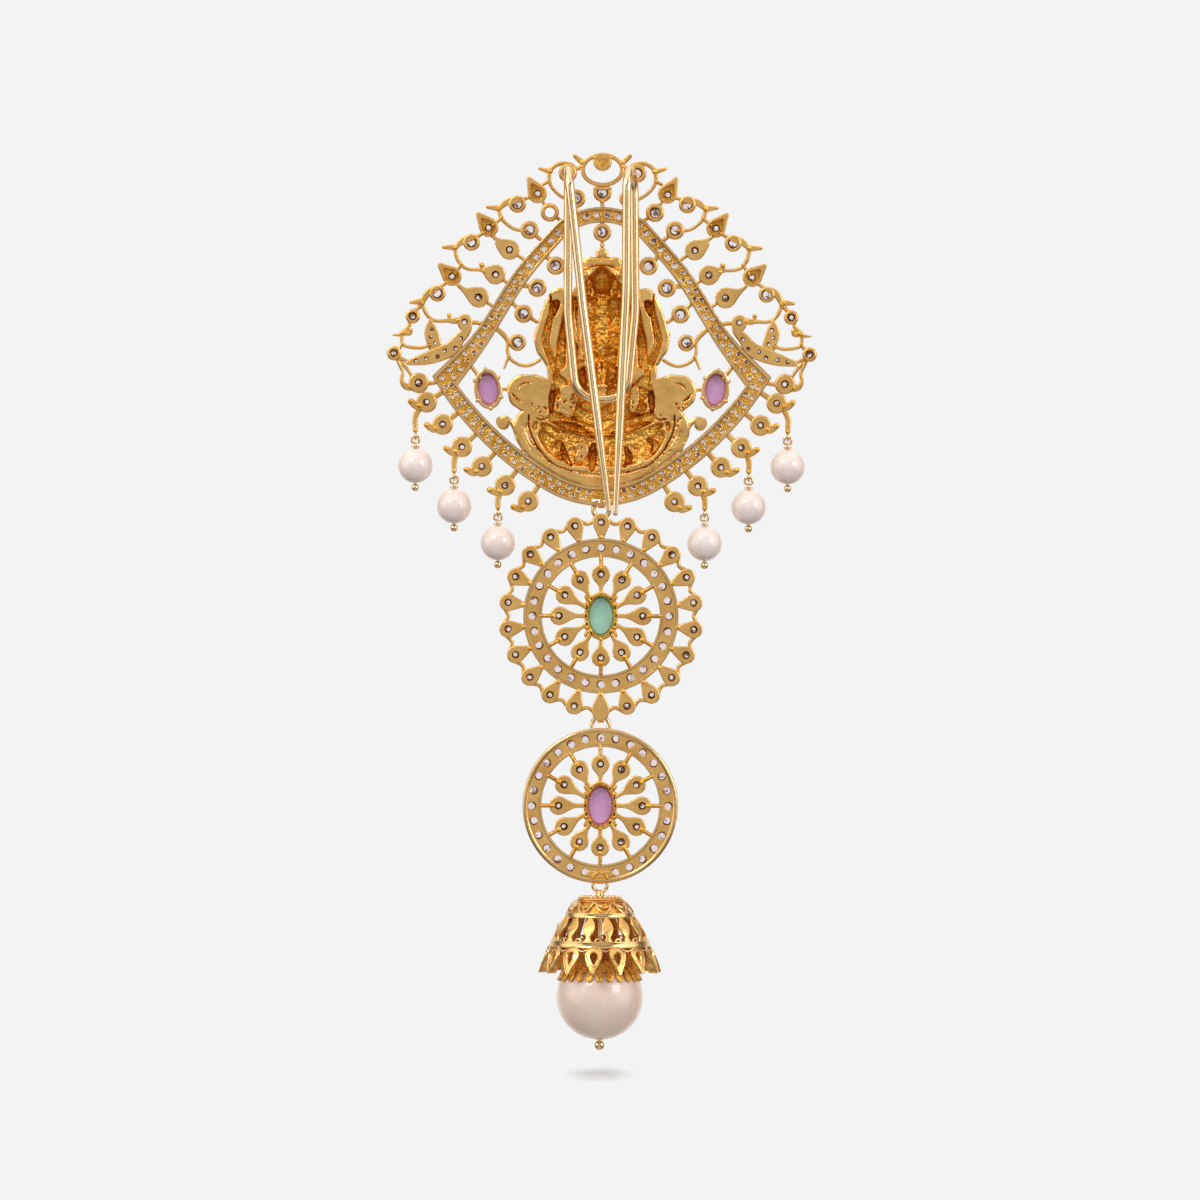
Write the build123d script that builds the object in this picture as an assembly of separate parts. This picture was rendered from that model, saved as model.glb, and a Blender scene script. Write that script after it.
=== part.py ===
from build123d import *
from collections import namedtuple
from math import acos, asin, atan2, cos, degrees, dist, pi, radians, sin
import os

# Hair bun brooch, in millimetres. X runs across the brooch and Z up. The display face looks
# along +Y and the hair lies behind it, between the fork's legs and its tines. The origin is
# midway across the hair gap, level with the centres of the fork's two top bends.

# Clearances
solder_gap = 0.1
stone_gap = 0.06
link_gap = 0.12
bead_gap = 0.06

Loop = namedtuple("Loop", "radius wire")
Link = namedtuple("Link", "radius wire hide")

# Hair fork
fork_wire = 1.3
fork_tip_wire = 0.72
hair_gap = 4.7
fork_half_span = 4.9
leg_length = 29.6
tine_length = 46.0
tine_taper = 12.0
u_bend_radius = 3.3

# Crest band
band_top_z = -2.0
band_height = 42.9
band_half_width = 24.36
band_corner_drop = 24.36
arch_radius = 10.4
arch_half_span = 6.4
band_top_width = 2.25
band_side_width = 2.4
band_bottom_width = 2.8
band_corner_width = 4.0
band_corner_lean = 19.0
keel_radius = 15.7
keel_turn = 30.0
rail_width = 0.5
channel_depth = 0.35
channel_break = (5.0, 9.0)

# Flat metal
plate_thick = 2.2
lattice_thick = 1.6
lattice_wire = 0.6
fine_wire = 0.5
soldered_overlap = 0.2

# Lattice and its collets
lattice_reach = 8.6
crown_reach = 7.8
collet_radius = 1.33
small_collet_radius = 1.05
leaf_wall = 0.42
leaf_recess = 0.5
eyelet_bore = 0.72
stone_radius = 0.8
small_stone_radius = 0.62
azure_share = 0.76
eyelet_foot_drop = 1.1

# Paisley drops under the band
drop_out = 2.6
drop_radius = 1.5
drop_tail_radius = 0.42
peg_wire = 0.8
stem_wire = 0.85

# Small pearls
pearl_radius = 2.5
pearl_pin_wire = 0.36
pearl_loop_radius = 0.55
pearl_collar_radius = 0.6
pearl_collar_height = 0.36
pearl_ball_radius = 0.55
pearl_neck = 0.1

# Oval stones and their claw settings
crest_oval_half = (1.42, 2.3)
crest_oval_tilt = 8.0
medallion_oval_half = (1.8, 2.85)
setting_bore = 0.92
setting_wall = 0.62
setting_rise = 0.9
setting_peg = 0.6
setting_side_peg = 0.5
oval_sink = 0.45
claw_radius = 0.32

# Medallions
medallion_radius = 11.14
medallion_rim = 2.7
rim_stone_count = 28
rim_stone_radius = 0.68
inner_petal_count = 12
outer_petal_count = 22
inner_petal_at = 6.0
inner_petal_radius = 1.36
outer_petal_reach = 2.3
outer_petal_radius = 1.28
petal_root = 0.32
petal_neck = 0.42
outer_petal_root = 0.28
outer_wire_rise = 0.4
medallion_foot_radius = 0.95
medallion_foot_rise = 0.33
medallion_1_drop = 15.75
medallion_2_drop = 12.15

# Links: each ring's radius, its wire, and how deep its pivot sits in the piece above
link_wall = 0.4
link_swing_room = 0.85
link_side_room = 0.15
link_top_room = 0.05
link_1 = Link(1.14, 0.36, 0.6)
link_2 = Link(1.22, 0.33, 0.6)
link_3 = Link(1.0, 0.28, 0.75)
knuckle_wall = 0.34
knuckle_length = 1.0

# Bell
bell_gap = 1.8
bell_top_radius = 2.7
bell_rail_1_drop = 2.7
bell_rail_1_radius = 4.95
bell_rail_2_drop = 6.8
bell_rail_2_radius = 7.0
bell_skirt_drop = 11.0
bell_skirt_radius = 8.7
bell_wall = 0.7
bell_rail = 0.6
bell_rail_1_sink = 0.25
bell_rail_2_sink = 0.3
bell_stem_radius = 0.55
bell_leaf_count = 14
bell_skirt_count = 16
bell_peak_count = 12
bell_stone = 0.6
bell_stone_turn = 85.0
bell_leaf_seat = 4.7
bell_cut_from = 1.3
bell_cut_to = 14.0
bell_peak_cut = 0.36
bell_peak_tip = 0.08
bell_leaf_gap_low = 0.62
bell_leaf_gap_waist = 0.24
bell_leaf_gap_high = 0.5
bell_leaf_gap_below = 0.85
bell_leaf_gap_above = 1.15
bell_notch_low = 1.25
bell_notch_high = 0.18
bell_pear_rise = 0.25
bell_pear_tip_drop = 0.9

# Large pearl
big_pearl_radius = 6.2
big_pearl_below_bell = 3.45
big_pin_wire = 0.56
big_ball_radius = 0.72
cap_wall = 0.3
cap_tooth_count = 24
cap_tooth_top = 44.0
cap_tooth_end = 70.0
bell_eye = Loop(0.8, 0.25)
pin_loop = Loop(0.61, 0.24)

# Figure
figure_half_width = 9.7
figure_height = 33.0
figure_plate = 1.3
figure_skin = 0.6
figure_relief = 5.2
figure_hollow = 1.6
figure_rise = 3.85
figure_edge_margin = 1.3

# Worked out from the sizes above
leg_y = (hair_gap + fork_wire) / 2
bend_radius = leg_y
plate_back = leg_y + fork_wire / 2 + solder_gap
plate_front = plate_back + plate_thick
lattice_front = plate_back + lattice_thick
hang_y = plate_back + link_wall + link_swing_room
arch_z = band_top_z - arch_radius
band_bottom_z = band_top_z - band_height
band_corner = (-band_half_width, band_top_z - band_corner_drop)


def step(p, angle, length):
    """The point at a distance from p, at an angle in degrees from +X towards +Z."""
    return (p[0] + length * cos(radians(angle)), p[1] + length * sin(radians(angle)))


def between(p, q, share):
    return (p[0] + (q[0] - p[0]) * share, p[1] + (q[1] - p[1]) * share)


def flat(outline, back, front):
    """Metal of an outline drawn in X and Z, from one depth to another."""
    seat = Plane(origin=(0, back, 0), x_dir=(1, 0, 0), z_dir=(0, -1, 0))
    return extrude(seat * outline, amount=back - front)


def disc(p, radius):
    return Pos(p[0], p[1]) * Circle(radius)


def tapered(p, p_radius, q, q_radius):
    """Two circles and the straight sides that touch both."""
    gap = dist(p, q)
    if gap <= abs(p_radius - q_radius) * 1.001 + 0.001:
        return disc(p, p_radius) if p_radius > q_radius else disc(q, q_radius)
    lean = degrees(atan2(q[1] - p[1], q[0] - p[0]))
    turn = degrees(acos((p_radius - q_radius) / gap))
    p_left, p_right = step(p, lean + turn, p_radius), step(p, lean - turn, p_radius)
    q_left, q_right = step(q, lean + turn, q_radius), step(q, lean - turn, q_radius)
    sides = [
        ThreePointArc(p_left, step(p, lean + 180, p_radius), p_right),
        Line(p_right, q_right),
        ThreePointArc(q_right, step(q, lean, q_radius), q_left),
        Line(q_left, p_left),
    ]
    return make_face(sides)


def chain(*rounds):
    """Tapered outlines from each round to the next, for a curved wire or leaf."""
    return [tapered(a[:2], a[2], b[:2], b[2]) for a, b in zip(rounds, rounds[1:])]


def mirrored(shape):
    return mirror(shape, about=Plane.YZ)


def ring_upright(centre, radius, wire, across):
    """A wire ring: its axis is X where across is true, and otherwise Y."""
    z_dir = (1, 0, 0) if across else (0, 1, 0)
    x_dir = (0, 1, 0) if across else (1, 0, 0)
    return Plane(origin=centre, x_dir=x_dir, z_dir=z_dir) * Torus(radius, wire)


def cut_stone(half_x, half_z, sides, table, crown, girdle, pavilion):
    """A cut stone about its girdle's middle, with its table towards +Y and its point towards -Y."""

    def corners(share, y):
        turns = [2 * pi * (n + 0.5) / sides for n in range(sides)]
        return [(half_x * share * cos(a), y, half_z * share * sin(a)) for a in turns]

    table_corners = corners(table, girdle / 2 + crown)
    upper = corners(1, girdle / 2)
    lower = corners(1, -girdle / 2)
    point = (0, -girdle / 2 - pavilion, 0)
    loops = [table_corners]
    for n in range(sides):
        m = (n + 1) % sides
        loops.append([table_corners[n], table_corners[m], upper[m], upper[n]])
        loops.append([upper[n], upper[m], lower[m], lower[n]])
        loops.append([lower[n], lower[m], point])
    return Solid(Shell([Face(Wire.make_polygon(loop, close=True)) for loop in loops]))


def round_stone(radius):
    return cut_stone(radius, radius, 8, 0.56, radius * 0.34, radius * 0.08, radius * 0.84)


def oval_stone(half):
    return cut_stone(half[0], half[1], 16, 0.62, half[0] * 0.38, half[0] * 0.1, half[0] * 0.8)


class Casting:
    """Outlines soldered into one flat piece, with its stones, hollows and links."""

    def __init__(self, front):
        self.front = front
        self.outlines = []
        self.seats = []
        self.hollows = []
        self.raised = []
        self.cuts = []
        self.links = []

    def add(self, *outlines):
        self.outlines.extend(outlines)

    def seat(self, p, stone, front=None):
        """A place for a round stone, in metal that ends at a front depth."""
        self.seats.append((p, stone, front or self.front))

    def collet(self, p, radius, stone):
        self.add(disc(p, radius))
        self.seat(p, stone)

    def both_sides(self, left):
        """Adds another casting's pieces and their mirror images."""
        self.add(*left.outlines, *[mirrored(outline) for outline in left.outlines])
        self.hollows += left.hollows + [mirrored(outline) for outline in left.hollows]
        self.seats += left.seats
        self.seats += [((-p[0], p[1]), stone, front) for p, stone, front in left.seats]

    def setting(self, centre, half, tilt):
        """A claw setting: an oval tube with a ledge inside, and claws round it."""
        wall_half = (half[0] + setting_wall, half[1] + setting_wall)
        place = Pos(*centre) * Rot(0, 0, tilt)
        front = self.front + setting_rise
        self.raised.append(flat(place * Ellipse(*wall_half), plate_back, front))
        for turn in range(30, 360, 60):
            claw = (wall_half[0] * cos(radians(turn)), wall_half[1] * sin(radians(turn)))
            self.raised.append(flat(place * disc(claw, claw_radius), plate_back, front + claw_radius))
        ledge = Ellipse(half[0] * setting_bore, half[1] * setting_bore)
        pocket = Ellipse(half[0] + stone_gap, half[1] + stone_gap)
        self.cuts.append(flat(place * ledge, plate_back - 1, front + 1))
        self.cuts.append(flat(place * pocket, front - half[0], front + 1))

    def link_ring(self, pivot_z, link):
        """The wire ring at the top of a piece, whose upper bar is the pivot."""
        centre = (0, hang_y, pivot_z - link.radius)
        self.raised.append(ring_upright(centre, link.radius, link.wire, False))

    def knuckle(self, pivot_z, link):
        self.links.append((pivot_z, link))

    def metal(self):
        """The soldered piece, with a hole behind each stone and a pocket round it."""
        body = flat(Sketch() + self.outlines, plate_back, self.front)
        if self.raised:
            body = body + self.raised
        tools = list(self.cuts)
        tools += [flat(hollow, plate_back - 1, plate_back + leaf_recess) for hollow in self.hollows]
        for p, stone, front in self.seats:
            tools.append(flat(disc(p, stone * azure_share), plate_back - 1, front + 1))
            tools.append(flat(disc(p, stone + stone_gap), front - stone * 1.1, front + 1))
        if tools:
            body = body - tools
        for pivot_z, link in self.links:
            body = body - link_pocket(pivot_z, link) + link_tube(pivot_z, link) - link_bore(pivot_z, link)
        return body

    def stones(self):
        cuts = {stone: round_stone(stone) for _, stone, _ in self.seats}
        return [
            Pos(p[0], front - stone * 0.25, p[1]) * cuts[stone] for p, stone, front in self.seats
        ]


def link_sag(link):
    """How far the ring's bar curves down over half the knuckle's length."""
    return link.radius - (link.radius**2 - (knuckle_length / 2) ** 2) ** 0.5


def link_pocket(pivot_z, link):
    """The space in a rim for the ring's upper half, open to the front and below."""
    half = link.radius + link.wire + link_side_room
    top = pivot_z + link.wire + link_gap + link_top_room
    bottom = pivot_z - link.hide - 1
    depth = plate_thick + 2
    middle = (0, plate_back + link_wall + depth / 2, (top + bottom) / 2)
    return Pos(*middle) * Box(2 * half, depth, top - bottom)


def link_cylinder(pivot_z, link, radius, length):
    middle = (0, hang_y, pivot_z - link_sag(link) / 2)
    return Plane(origin=middle, x_dir=(0, 1, 0), z_dir=(1, 0, 0)) * Cylinder(radius, length)


def link_bore_radius(link):
    return link.wire + link_gap + link_sag(link) / 2


def link_tube(pivot_z, link):
    """The knuckle round the ring's bar, with a root that ties it to the wall behind."""
    tube = link_cylinder(pivot_z, link, link_bore_radius(link) + knuckle_wall, knuckle_length)
    back = plate_back + link_wall / 2
    height = link_bore_radius(link) + knuckle_wall
    root = Pos(0, (back + hang_y) / 2, pivot_z + height / 2) * Box(knuckle_length, hang_y - back, height)
    return tube + root


def link_bore(pivot_z, link):
    return link_cylinder(pivot_z, link, link_bore_radius(link), 2 * (link.radius + link.wire))


# Crest band

Bulge = namedtuple("Bulge", "along out width")
# Along: share of the side from shoulder to corner. Out: share of the side's width.
side_bulges = [
    Bulge(0.32, 0.14, 0.97),
    Bulge(0.70, -0.32, 1.06),
]


def band_edge(share):
    """The face inside the band's outline, at a share of its width: 0 outside, 1 inside."""
    arch = arch_radius - share * band_top_width
    lean = degrees(asin(arch_half_span / arch_radius))
    shoulder = step((0, arch_z), 90 + lean, arch)
    crown = (0, arch_z + arch)
    crown_side = step((0, arch_z), 90 + lean / 2, arch)
    outer_shoulder = step((0, arch_z), 90 + lean, arch_radius)
    side_angle = degrees(atan2(band_corner[1] - outer_shoulder[1], band_corner[0] - outer_shoulder[0]))
    corner = step(band_corner, -band_corner_lean, share * band_corner_width)
    side = [shoulder]
    for row in side_bulges:
        p = between(outer_shoulder, band_corner, row.along)
        out = (row.out - share * row.width) * band_side_width
        side.append(step(p, side_angle - 90, out))
    side.append(corner)
    keel = keel_radius - share * band_bottom_width
    keel_centre = (0, band_bottom_z + keel_radius)
    bottom = (0, band_bottom_z + keel_radius - keel)
    keel_mid = step(keel_centre, 270 - keel_turn / 2, keel)
    keel_end = step(keel_centre, 270 - keel_turn, keel)
    edges = [
        ThreePointArc(crown, crown_side, shoulder),
        Spline(*side),
        TangentArc(keel_end, corner, tangent=step((0, 0), 180 - keel_turn, 1)),
        ThreePointArc(keel_end, keel_mid, bottom),
        Line(bottom, crown),
    ]
    half = make_face(edges)
    return half + mirrored(half)


def along_band(along, out):
    """A point beside the band's left side: shares of the side's length and the lattice's reach."""
    lean = degrees(asin(arch_half_span / arch_radius))
    shoulder = step((0, arch_z), 90 + lean, arch_radius)
    side_angle = degrees(atan2(band_corner[1] - shoulder[1], band_corner[0] - shoulder[0]))
    return step(between(shoulder, band_corner, along), side_angle - 90, out * lattice_reach)


def beside(along, out, radius):
    return (*along_band(along, out), radius)


def above(across, up, radius):
    """A round above the band's top, in shares of the crown's reach."""
    return (across * crown_reach, band_top_z + up * crown_reach, radius)


def inside(across, down, radius):
    """A round inside the band, in shares of the band's half width and height."""
    return (across * band_half_width, band_top_z - down * band_height, radius)


def add_leaf(crest, centre, tip):
    """A pointed leaf, hollowed at the back round its stone."""
    crest.add(tapered(centre[:2], centre[2], tip[:2], tip[2]))
    crest.seat(centre[:2], small_stone_radius)
    inner = centre[2] - leaf_wall
    hollow_tip = between(centre, tip, 0.72)
    crest.hollows.append(tapered(centre[:2], inner, hollow_tip, leaf_wall * 0.4))


def add_scroll(crest, collet, thorn, arch, wire):
    """A thorn, a thick arch over a collet, and a wire that runs on from the thorn's root."""
    crest.collet(collet[:2], collet[2], stone_radius)
    crest.add(*chain(*thorn))
    crest.add(*chain(*arch))
    crest.add(*chain(*wire))


def add_paisley(crest, centre, tail, peg):
    crest.add(*chain(centre, *tail))
    crest.add(*chain((centre[0], centre[1], fine_wire), peg))
    crest.seat(centre[:2], small_stone_radius)


def lattice_left(crest):
    """Scrolls, leaves, paisleys and the bird beside the band's left side."""
    thick = lattice_wire * 0.8
    wire = lattice_wire / 2
    fine = fine_wire / 2
    leaves = [
        (beside(-0.046, 0.56, collet_radius), beside(-0.077, 0.84, 0.2)),
        (beside(0.240, 0.83, collet_radius), beside(0.222, 1.12, 0.2)),
        (beside(0.547, 0.79, collet_radius), beside(0.542, 1.08, 0.2)),
    ]
    for centre, tip in leaves:
        add_leaf(crest, centre, tip)
    add_scroll(
        crest,
        beside(0.058, 0.71, collet_radius * 0.94),
        [beside(0.164, 1.06, 0.15), beside(0.133, 0.91, wire)],
        [beside(0.137, 0.90, wire), beside(0.086, 0.87, thick), beside(0.052, 0.78, thick),
         beside(0.024, 0.70, wire), beside(0.000, 0.64, fine)],
        [beside(0.137, 0.90, wire), beside(0.162, 0.77, wire), beside(0.169, 0.64, fine),
         beside(0.166, 0.50, fine), beside(0.149, 0.39, fine), beside(0.120, 0.28, fine)],
    )
    crest.collet(along_band(0.120, 0.28), collet_radius, stone_radius)
    crest.add(*chain(beside(0.120, 0.28, wire), beside(0.122, -0.02, wire)))
    crest.add(*chain(beside(0.162, 0.77, fine), beside(0.215, 0.80, fine)))
    add_scroll(
        crest,
        beside(0.353, 0.90, collet_radius * 0.92),
        [beside(0.461, 1.21, 0.15), beside(0.425, 1.06, wire)],
        [beside(0.427, 1.06, wire), beside(0.378, 1.03, thick), beside(0.344, 0.97, thick),
         beside(0.313, 0.89, wire), beside(0.280, 0.85, fine)],
        [beside(0.427, 1.06, wire), beside(0.462, 0.91, wire), beside(0.474, 0.76, fine),
         beside(0.464, 0.64, fine), beside(0.437, 0.52, fine), beside(0.425, 0.44, wire)],
    )
    crest.add(disc(along_band(0.409, 0.53), wire * 1.2))
    crest.add(*chain(beside(0.409, 0.53, wire), beside(0.425, 0.43, wire)))
    crest.add(*chain(beside(0.470, 0.80, fine), beside(0.525, 0.78, fine)))
    add_scroll(
        crest,
        beside(0.660, 0.80, collet_radius * 0.88),
        [beside(0.779, 1.05, 0.15), beside(0.744, 0.93, wire)],
        [beside(0.747, 0.89, wire), beside(0.700, 0.93, thick), beside(0.660, 0.90, thick),
         beside(0.627, 0.84, wire), beside(0.590, 0.80, fine)],
        [beside(0.750, 0.88, wire), beside(0.769, 0.77, wire), beside(0.779, 0.64, fine),
         beside(0.767, 0.51, fine), beside(0.730, 0.37, wire)],
    )
    add_paisley(
        crest,
        beside(0.261, 0.33, collet_radius * 1.1),
        [beside(0.267, 0.52, 0.7), beside(0.262, 0.60, 0.32), beside(0.262, 0.72, 0.26)],
        beside(0.251, -0.02, fine),
    )
    add_paisley(
        crest,
        beside(0.402, 0.25, collet_radius * 1.1),
        [beside(0.420, 0.42, 0.5)],
        beside(0.394, -0.06, fine),
    )
    add_paisley(
        crest,
        beside(0.544, 0.23, collet_radius * 1.15),
        [beside(0.561, 0.46, 0.48), beside(0.562, 0.62, 0.26)],
        beside(0.532, -0.10, fine),
    )
    bird_left(crest)
    corner_left(crest)


def bird_left(crest):
    """The bird: head with a stone, curved neck, boat-shaped body and a pointed wing."""
    wire = lattice_wire / 2
    crest.collet(along_band(0.684, 0.15), collet_radius * 0.9, small_stone_radius)
    crest.add(*chain(beside(0.707, 0.42, wire), beside(0.723, 0.34, 0.4), beside(0.684, 0.15, 0.9)))
    crest.add(*chain(
        beside(0.684, 0.15, 1.1), beside(0.713, 0.02, 0.85), beside(0.770, 0.01, 0.9),
        beside(0.834, 0.04, 1.05), beside(0.936, 0.23, 0.95), beside(1.020, 0.44, 0.4),
    ))
    crest.add(*chain(beside(0.684, 0.15, wire), beside(0.640, -0.06, wire)))
    crest.add(*chain(beside(0.785, 0.59, 0.22), beside(0.873, 0.44, 0.55)))
    crest.add(*chain(beside(0.785, 0.59, 0.22), beside(0.849, 0.33, 0.6), beside(0.873, 0.44, 0.55)))
    crest.add(*chain(beside(0.873, 0.42, 0.6), beside(0.895, 0.20, 0.7)))
    crest.add(*chain(beside(0.849, 0.33, 0.6), beside(0.875, 0.16, 0.7)))


def corner_left(crest):
    """Small collets, hook and wires between the bird and the band's corner."""
    wire = lattice_wire / 2
    fine = fine_wire / 2
    crest.collet(along_band(0.827, 0.88), small_collet_radius, small_stone_radius)
    crest.add(*chain(beside(0.750, 0.89, wire), beside(0.827, 0.88, wire), beside(0.875, 0.83, wire),
                     beside(0.918, 0.82, 0.42), beside(0.891, 0.74, wire)))
    crest.add(*chain(beside(0.962, 0.93, 0.14), beside(0.935, 0.84, wire), beside(0.918, 0.82, 0.42)))
    crest.add(*chain(beside(0.930, 0.84, wire), beside(0.966, 0.72, fine), beside(0.960, 0.61, fine),
                     beside(0.924, 0.44, fine), beside(0.885, 0.36, fine)))
    crest.collet(along_band(1.030, 0.73), small_collet_radius, small_stone_radius)
    crest.add(*chain(beside(0.966, 0.72, fine), beside(1.030, 0.73, wire)))
    crest.add(*chain(beside(1.018, 0.45, fine), beside(1.030, 0.62, fine)))
    crest.add(*chain(beside(1.040, 0.66, fine), beside(1.060, 0.52, fine), beside(1.077, 0.42, fine),
                     beside(1.111, 0.35, wire), beside(1.123, 0.24, 0.45), beside(1.068, 0.10, 1.0)))
    crest.add(*chain(beside(1.040, 0.60, fine), beside(1.047, 0.46, fine), beside(1.056, 0.33, fine),
                     beside(1.070, 0.22, fine)))
    crest.collet(along_band(1.068, 0.10), collet_radius * 1.1, small_stone_radius)
    crest.add(*chain(beside(1.068, 0.10, wire), beside(1.01, -0.12, wire)))


def crown(crest):
    """The ring, collets, scrolls and thorns above the band's top, the same on both sides."""
    wire = lattice_wire / 2
    fine = fine_wire / 2
    ring_half = (0.403 * crown_reach, 0.315 * crown_reach)
    ring = Ellipse(ring_half[0], ring_half[1]) - Ellipse(
        ring_half[0] - lattice_wire, ring_half[1] - lattice_wire)
    crest.add(Pos(*above(0, 0.68, 0)[:2]) * ring)
    crest.collet(above(0, 0.80, 0)[:2], collet_radius * 0.9, stone_radius)
    crest.collet(above(0, 0.23, 0)[:2], collet_radius, stone_radius)
    crest.add(*chain(above(0, 0.40, wire), above(0, -0.05, wire)))
    side = Casting(lattice_front)
    side.add(*chain(above(-0.51, 0.94, 0.15), above(-0.46, 0.88, 0.26), above(-0.36, 0.82, wire)))
    side.add(*chain(above(-0.38, 0.74, wire), above(-0.48, 0.70, wire), above(-0.60, 0.76, 0.45),
                    above(-0.73, 0.80, wire), above(-0.86, 0.76, wire), above(-0.98, 0.66, wire)))
    side.collet(above(-0.64, 0.62, 0)[:2], collet_radius, stone_radius)
    side.add(*chain(above(-1.15, 0.71, 0.15), above(-1.03, 0.66, 0.26), above(-0.95, 0.66, wire)))
    side.add(*chain(above(-0.97, 0.68, wire), above(-0.985, 0.50, wire), above(-0.93, 0.36, fine),
                    above(-0.80, 0.22, fine), above(-0.64, 0.13, fine), above(-0.48, 0.13, fine)))
    side.add(*chain(above(-0.985, 0.47, fine), above(-1.08, 0.42, fine)))
    side.collet(above(-0.48, 0.15, 0)[:2], collet_radius, stone_radius)
    side.add(*chain(above(-0.48, 0.10, wire), above(-0.47, -0.12, wire)))
    side.add(*chain(above(-1.12, 0.13, fine), above(-1.04, 0.02, fine)))
    crest.both_sides(side)
    eyelet = above(-0.967, -0.105, 0)[:2]
    crest.add(disc(eyelet, collet_radius) - disc(eyelet, eyelet_bore))
    crest.collet((-eyelet[0], eyelet[1]), collet_radius, stone_radius)
    for p in (eyelet, (-eyelet[0], eyelet[1])):
        foot = (p[0] * 0.80, p[1] - eyelet_foot_drop)
        crest.add(tapered(between(p, foot, 0.75), fine, foot, fine))


def inside_left(crest):
    """Collets and scrolls inside the band's left side."""
    wire = lattice_wire / 2
    fine = fine_wire / 2
    crest.collet(inside(-0.273, 0.197, 0)[:2], collet_radius, stone_radius)
    crest.add(*chain(inside(-0.273, 0.197, wire), inside(-0.335, 0.160, 0.4)))
    crest.collet(inside(-0.381, 0.271, 0)[:2], collet_radius, stone_radius)
    crest.add(*chain(inside(-0.381, 0.271, wire), inside(-0.478, 0.262, 0.45)))
    crest.collet(inside(-0.462, 0.358, 0)[:2], collet_radius, stone_radius)
    crest.add(*chain(inside(-0.462, 0.358, wire), inside(-0.530, 0.320, wire)))
    crest.add(*chain(inside(-0.440, 0.364, wire), inside(-0.385, 0.385, fine)))
    crest.collet(inside(-0.497, 0.454, 0)[:2], collet_radius * 0.92, stone_radius)
    crest.add(*chain(
        inside(-0.640, 0.400, wire), inside(-0.585, 0.425, 0.38), inside(-0.555, 0.450, wire),
        inside(-0.556, 0.480, fine), inside(-0.540, 0.507, fine), inside(-0.502, 0.524, fine),
        inside(-0.455, 0.532, fine), inside(-0.410, 0.527, fine), inside(-0.365, 0.512, fine),
    ))
    crest.add(*chain(inside(-0.548, 0.500, fine), inside(-0.576, 0.540, 0.16)))


def crest_setting():
    """The middle of the left oval setting, and its tilt in degrees from +Z."""
    return inside(-0.669, 0.610, 0)[:2]


def drop_frame(share):
    """A point on the band's lower edge and its outward angle, at a share from the bottom."""
    keel_centre = (0, band_bottom_z + keel_radius)
    keel_end = step(keel_centre, 270 - keel_turn, keel_radius)
    arc = TangentArc(keel_end, band_corner, tangent=step((0, 0), 180 - keel_turn, 1))
    keel_length = radians(keel_turn) * keel_radius
    reach = share * (keel_length + arc.length) - keel_length
    if reach < 0:
        turn = keel_turn * (1 + reach / keel_length)
        return step(keel_centre, 270 - turn, keel_radius), 270 - turn
    along = min(reach / arc.length, 1.0)
    p, tangent = arc @ along, arc % along
    return (p.X, p.Y), degrees(atan2(tangent.Y, tangent.X)) + 90


# Shares of the lower edge from its bottom to the corner, for the paisley drops on each side.
drop_shares = [0.305, 0.425, 0.552, 0.672, 0.798, 0.915]
pearl_drops = [1, 3, 5]
PearlDrop = namedtuple("PearlDrop", "across_lean drop")
# Each pearl's eye: how far its stem leans outward, and how far it is below the paisley's middle.
pearl_stems = {
    1: PearlDrop(-1.0, 3.95),
    3: PearlDrop(-1.1, 4.20),
    5: PearlDrop(-1.6, 4.80),
}


def drop_centre(share):
    edge, angle = drop_frame(share)
    return step(edge, angle, drop_out), angle


def pearl_eye(index):
    """The middle of the eye that a small pearl hangs from, on the left side."""
    centre, _ = drop_centre(drop_shares[index])
    stem = pearl_stems[index]
    return (centre[0] + stem.across_lean, centre[1] - stem.drop)


def drops_left(crest):
    for share in drop_shares:
        centre, angle = drop_centre(share)
        edge, _ = drop_frame(share)
        belly = step(centre, angle - 20, 0.15)
        bend = step(step(centre, angle, 1.65), angle - 90, 0.55)
        tip = step(step(centre, angle, 1.95), angle - 90, 1.35)
        crest.add(*chain((*belly, drop_radius), (*bend, drop_tail_radius * 1.5), (*tip, drop_tail_radius)))
        crest.add(tapered(centre, peg_wire / 2, step(edge, angle, -0.3), peg_wire / 2))
        crest.seat(centre, small_stone_radius)
    for index in pearl_drops:
        centre, angle = drop_centre(drop_shares[index])
        eye = pearl_eye(index)
        start = step(centre, angle, drop_radius * 0.7)
        knee = (eye[0], between(start, eye, 0.35)[1])
        foot = (eye[0], eye[1] + 0.75, stem_wire * 0.4)
        crest.add(*chain((*start, stem_wire / 2), (*knee, stem_wire / 2), foot))


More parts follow.
